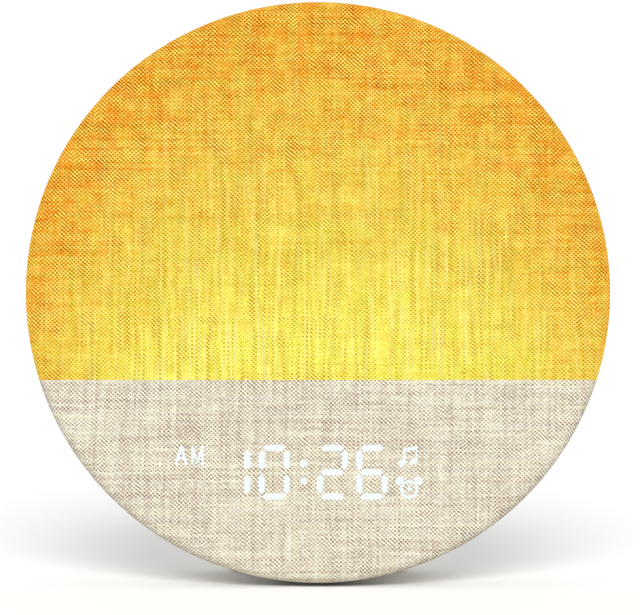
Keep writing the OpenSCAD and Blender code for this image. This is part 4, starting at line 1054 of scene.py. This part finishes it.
# %% Ribbons
PEN, STROKE_STEP = 0.4, 0.35


def thin(points):
    """The same line with points no further apart than a step."""
    out = [points[0]]
    for (x0, y0), (x1, y1) in zip(points, points[1:]):
        parts = max(1, math.ceil(math.hypot(x1 - x0, y1 - y0) / STROKE_STEP))
        out += [(x0 + (x1 - x0) * k / parts, y0 + (y1 - y0) * k / parts) for k in range(1, parts + 1)]
    return out


def ribbon(line):
    """For each point of a line, one point half a pen's width to each side."""
    last = len(line) - 1
    closed = math.hypot(line[0][0] - line[-1][0], line[0][1] - line[-1][1]) < 1e-6
    points = []
    for k, (u, v) in enumerate(line):
        before = line[-2] if closed and k == 0 else line[max(k - 1, 0)]
        after = line[1] if closed and k == last else line[min(k + 1, last)]
        length = math.hypot(after[0] - before[0], after[1] - before[1])
        side = (-(after[1] - before[1]) / length * PEN / 2, (after[0] - before[0]) / length * PEN / 2)
        points += [(u + side[0], v + side[1]), (u - side[0], v - side[1])]
    return points


print("steps round the clock's sign:", len(thin(SIGNS["time"][0])) - 1)

# %% Signs laid on the keys
from mathutils.bvhtree import BVHTree

INK_LIFT, INK_THICKNESS = 0.02 * MM, 0.06 * MM
START_ABOVE = 5
to_face = to_row.inverted()


def sign_mesh(name, strokes):
    """Ribbons along the strokes, dropped onto the key's outer surface."""
    key, rear = frame["nodes"][name + "_key"], name in REAR_KEYS
    corners = [to_face @ v.co / MM for v in key.data.vertices]
    low = [min(c[i] for c in corners) for i in range(3)]
    high = [max(c[i] for c in corners) for i in range(3)]
    middle = [(a + b) / 2 for a, b in zip(low, high)]
    outward = to_row.to_3x3() @ Vector((0, 1, 0) if rear else (0, 0, 1))
    surface = BVHTree.FromPolygons([v.co for v in key.data.vertices], [p.vertices for p in key.data.polygons])
    places, faces = [], []
    for line in map(thin, strokes):
        first = len(places)
        for u, v in ribbon(line):
            if rear:
                start = on_face(middle[0] - u, high[1] + START_ABOVE, middle[2] + v)
            else:
                start = on_face(middle[0] + u, middle[1] + v, high[2] + START_ABOVE)
            hit, normal, _, _ = surface.ray_cast(start, -outward)
            assert hit, f"{name}: a stroke runs off the key"
            places.append(hit + normal * INK_LIFT)
        faces += [[a, a + 1, a + 3, a + 2] for a in range(first, len(places) - 2, 2)]
    mesh = bpy.data.meshes.new("sign_" + name)
    mesh.from_pydata(places, [], faces)
    mesh.validate()
    if sum(p.normal.dot(outward) * p.area for p in mesh.polygons) < 0:
        mesh.flip_normals()
    return mesh


for name, strokes in SIGNS.items():
    sign = bpy.data.objects.new("sign_" + name, sign_mesh(name, strokes))
    scene.collection.objects.link(sign)
    sign.data.materials.append(materials["dark_mask"])
    film = sign.modifiers.new("film", "SOLIDIFY")
    film.thickness, film.offset = INK_THICKNESS, 1
    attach(sign, name)
print("signs:", len(SIGNS))

# %% [markdown]
# ## Floor
# The clock stands on a wide, pale, dull floor, which belongs to the studio and not to the clock.

# %% Floor
FLOOR_HALF, FLOOR_GREY = 12.0, 0.94
CORNERS = ((-1, -1), (1, -1), (1, 1), (-1, 1))

floor_mesh = bpy.data.meshes.new("floor")
floor_mesh.from_pydata([(x * FLOOR_HALF, y * FLOOR_HALF, 0) for x, y in CORNERS], [], [(0, 1, 2, 3)])
floor = bpy.data.objects.new("floor", floor_mesh)
scene.collection.objects.link(floor)
pale_floor, tree, shader = new_material("pale_floor")
feed(tree, shader, {"Base Color": (FLOOR_GREY, FLOOR_GREY, FLOOR_GREY, 1), "Roughness": 1.0,
                    "Specular IOR Level": 0.0})
floor_mesh.materials.append(pale_floor)
print("floor:", 2 * FLOOR_HALF, "metres wide")
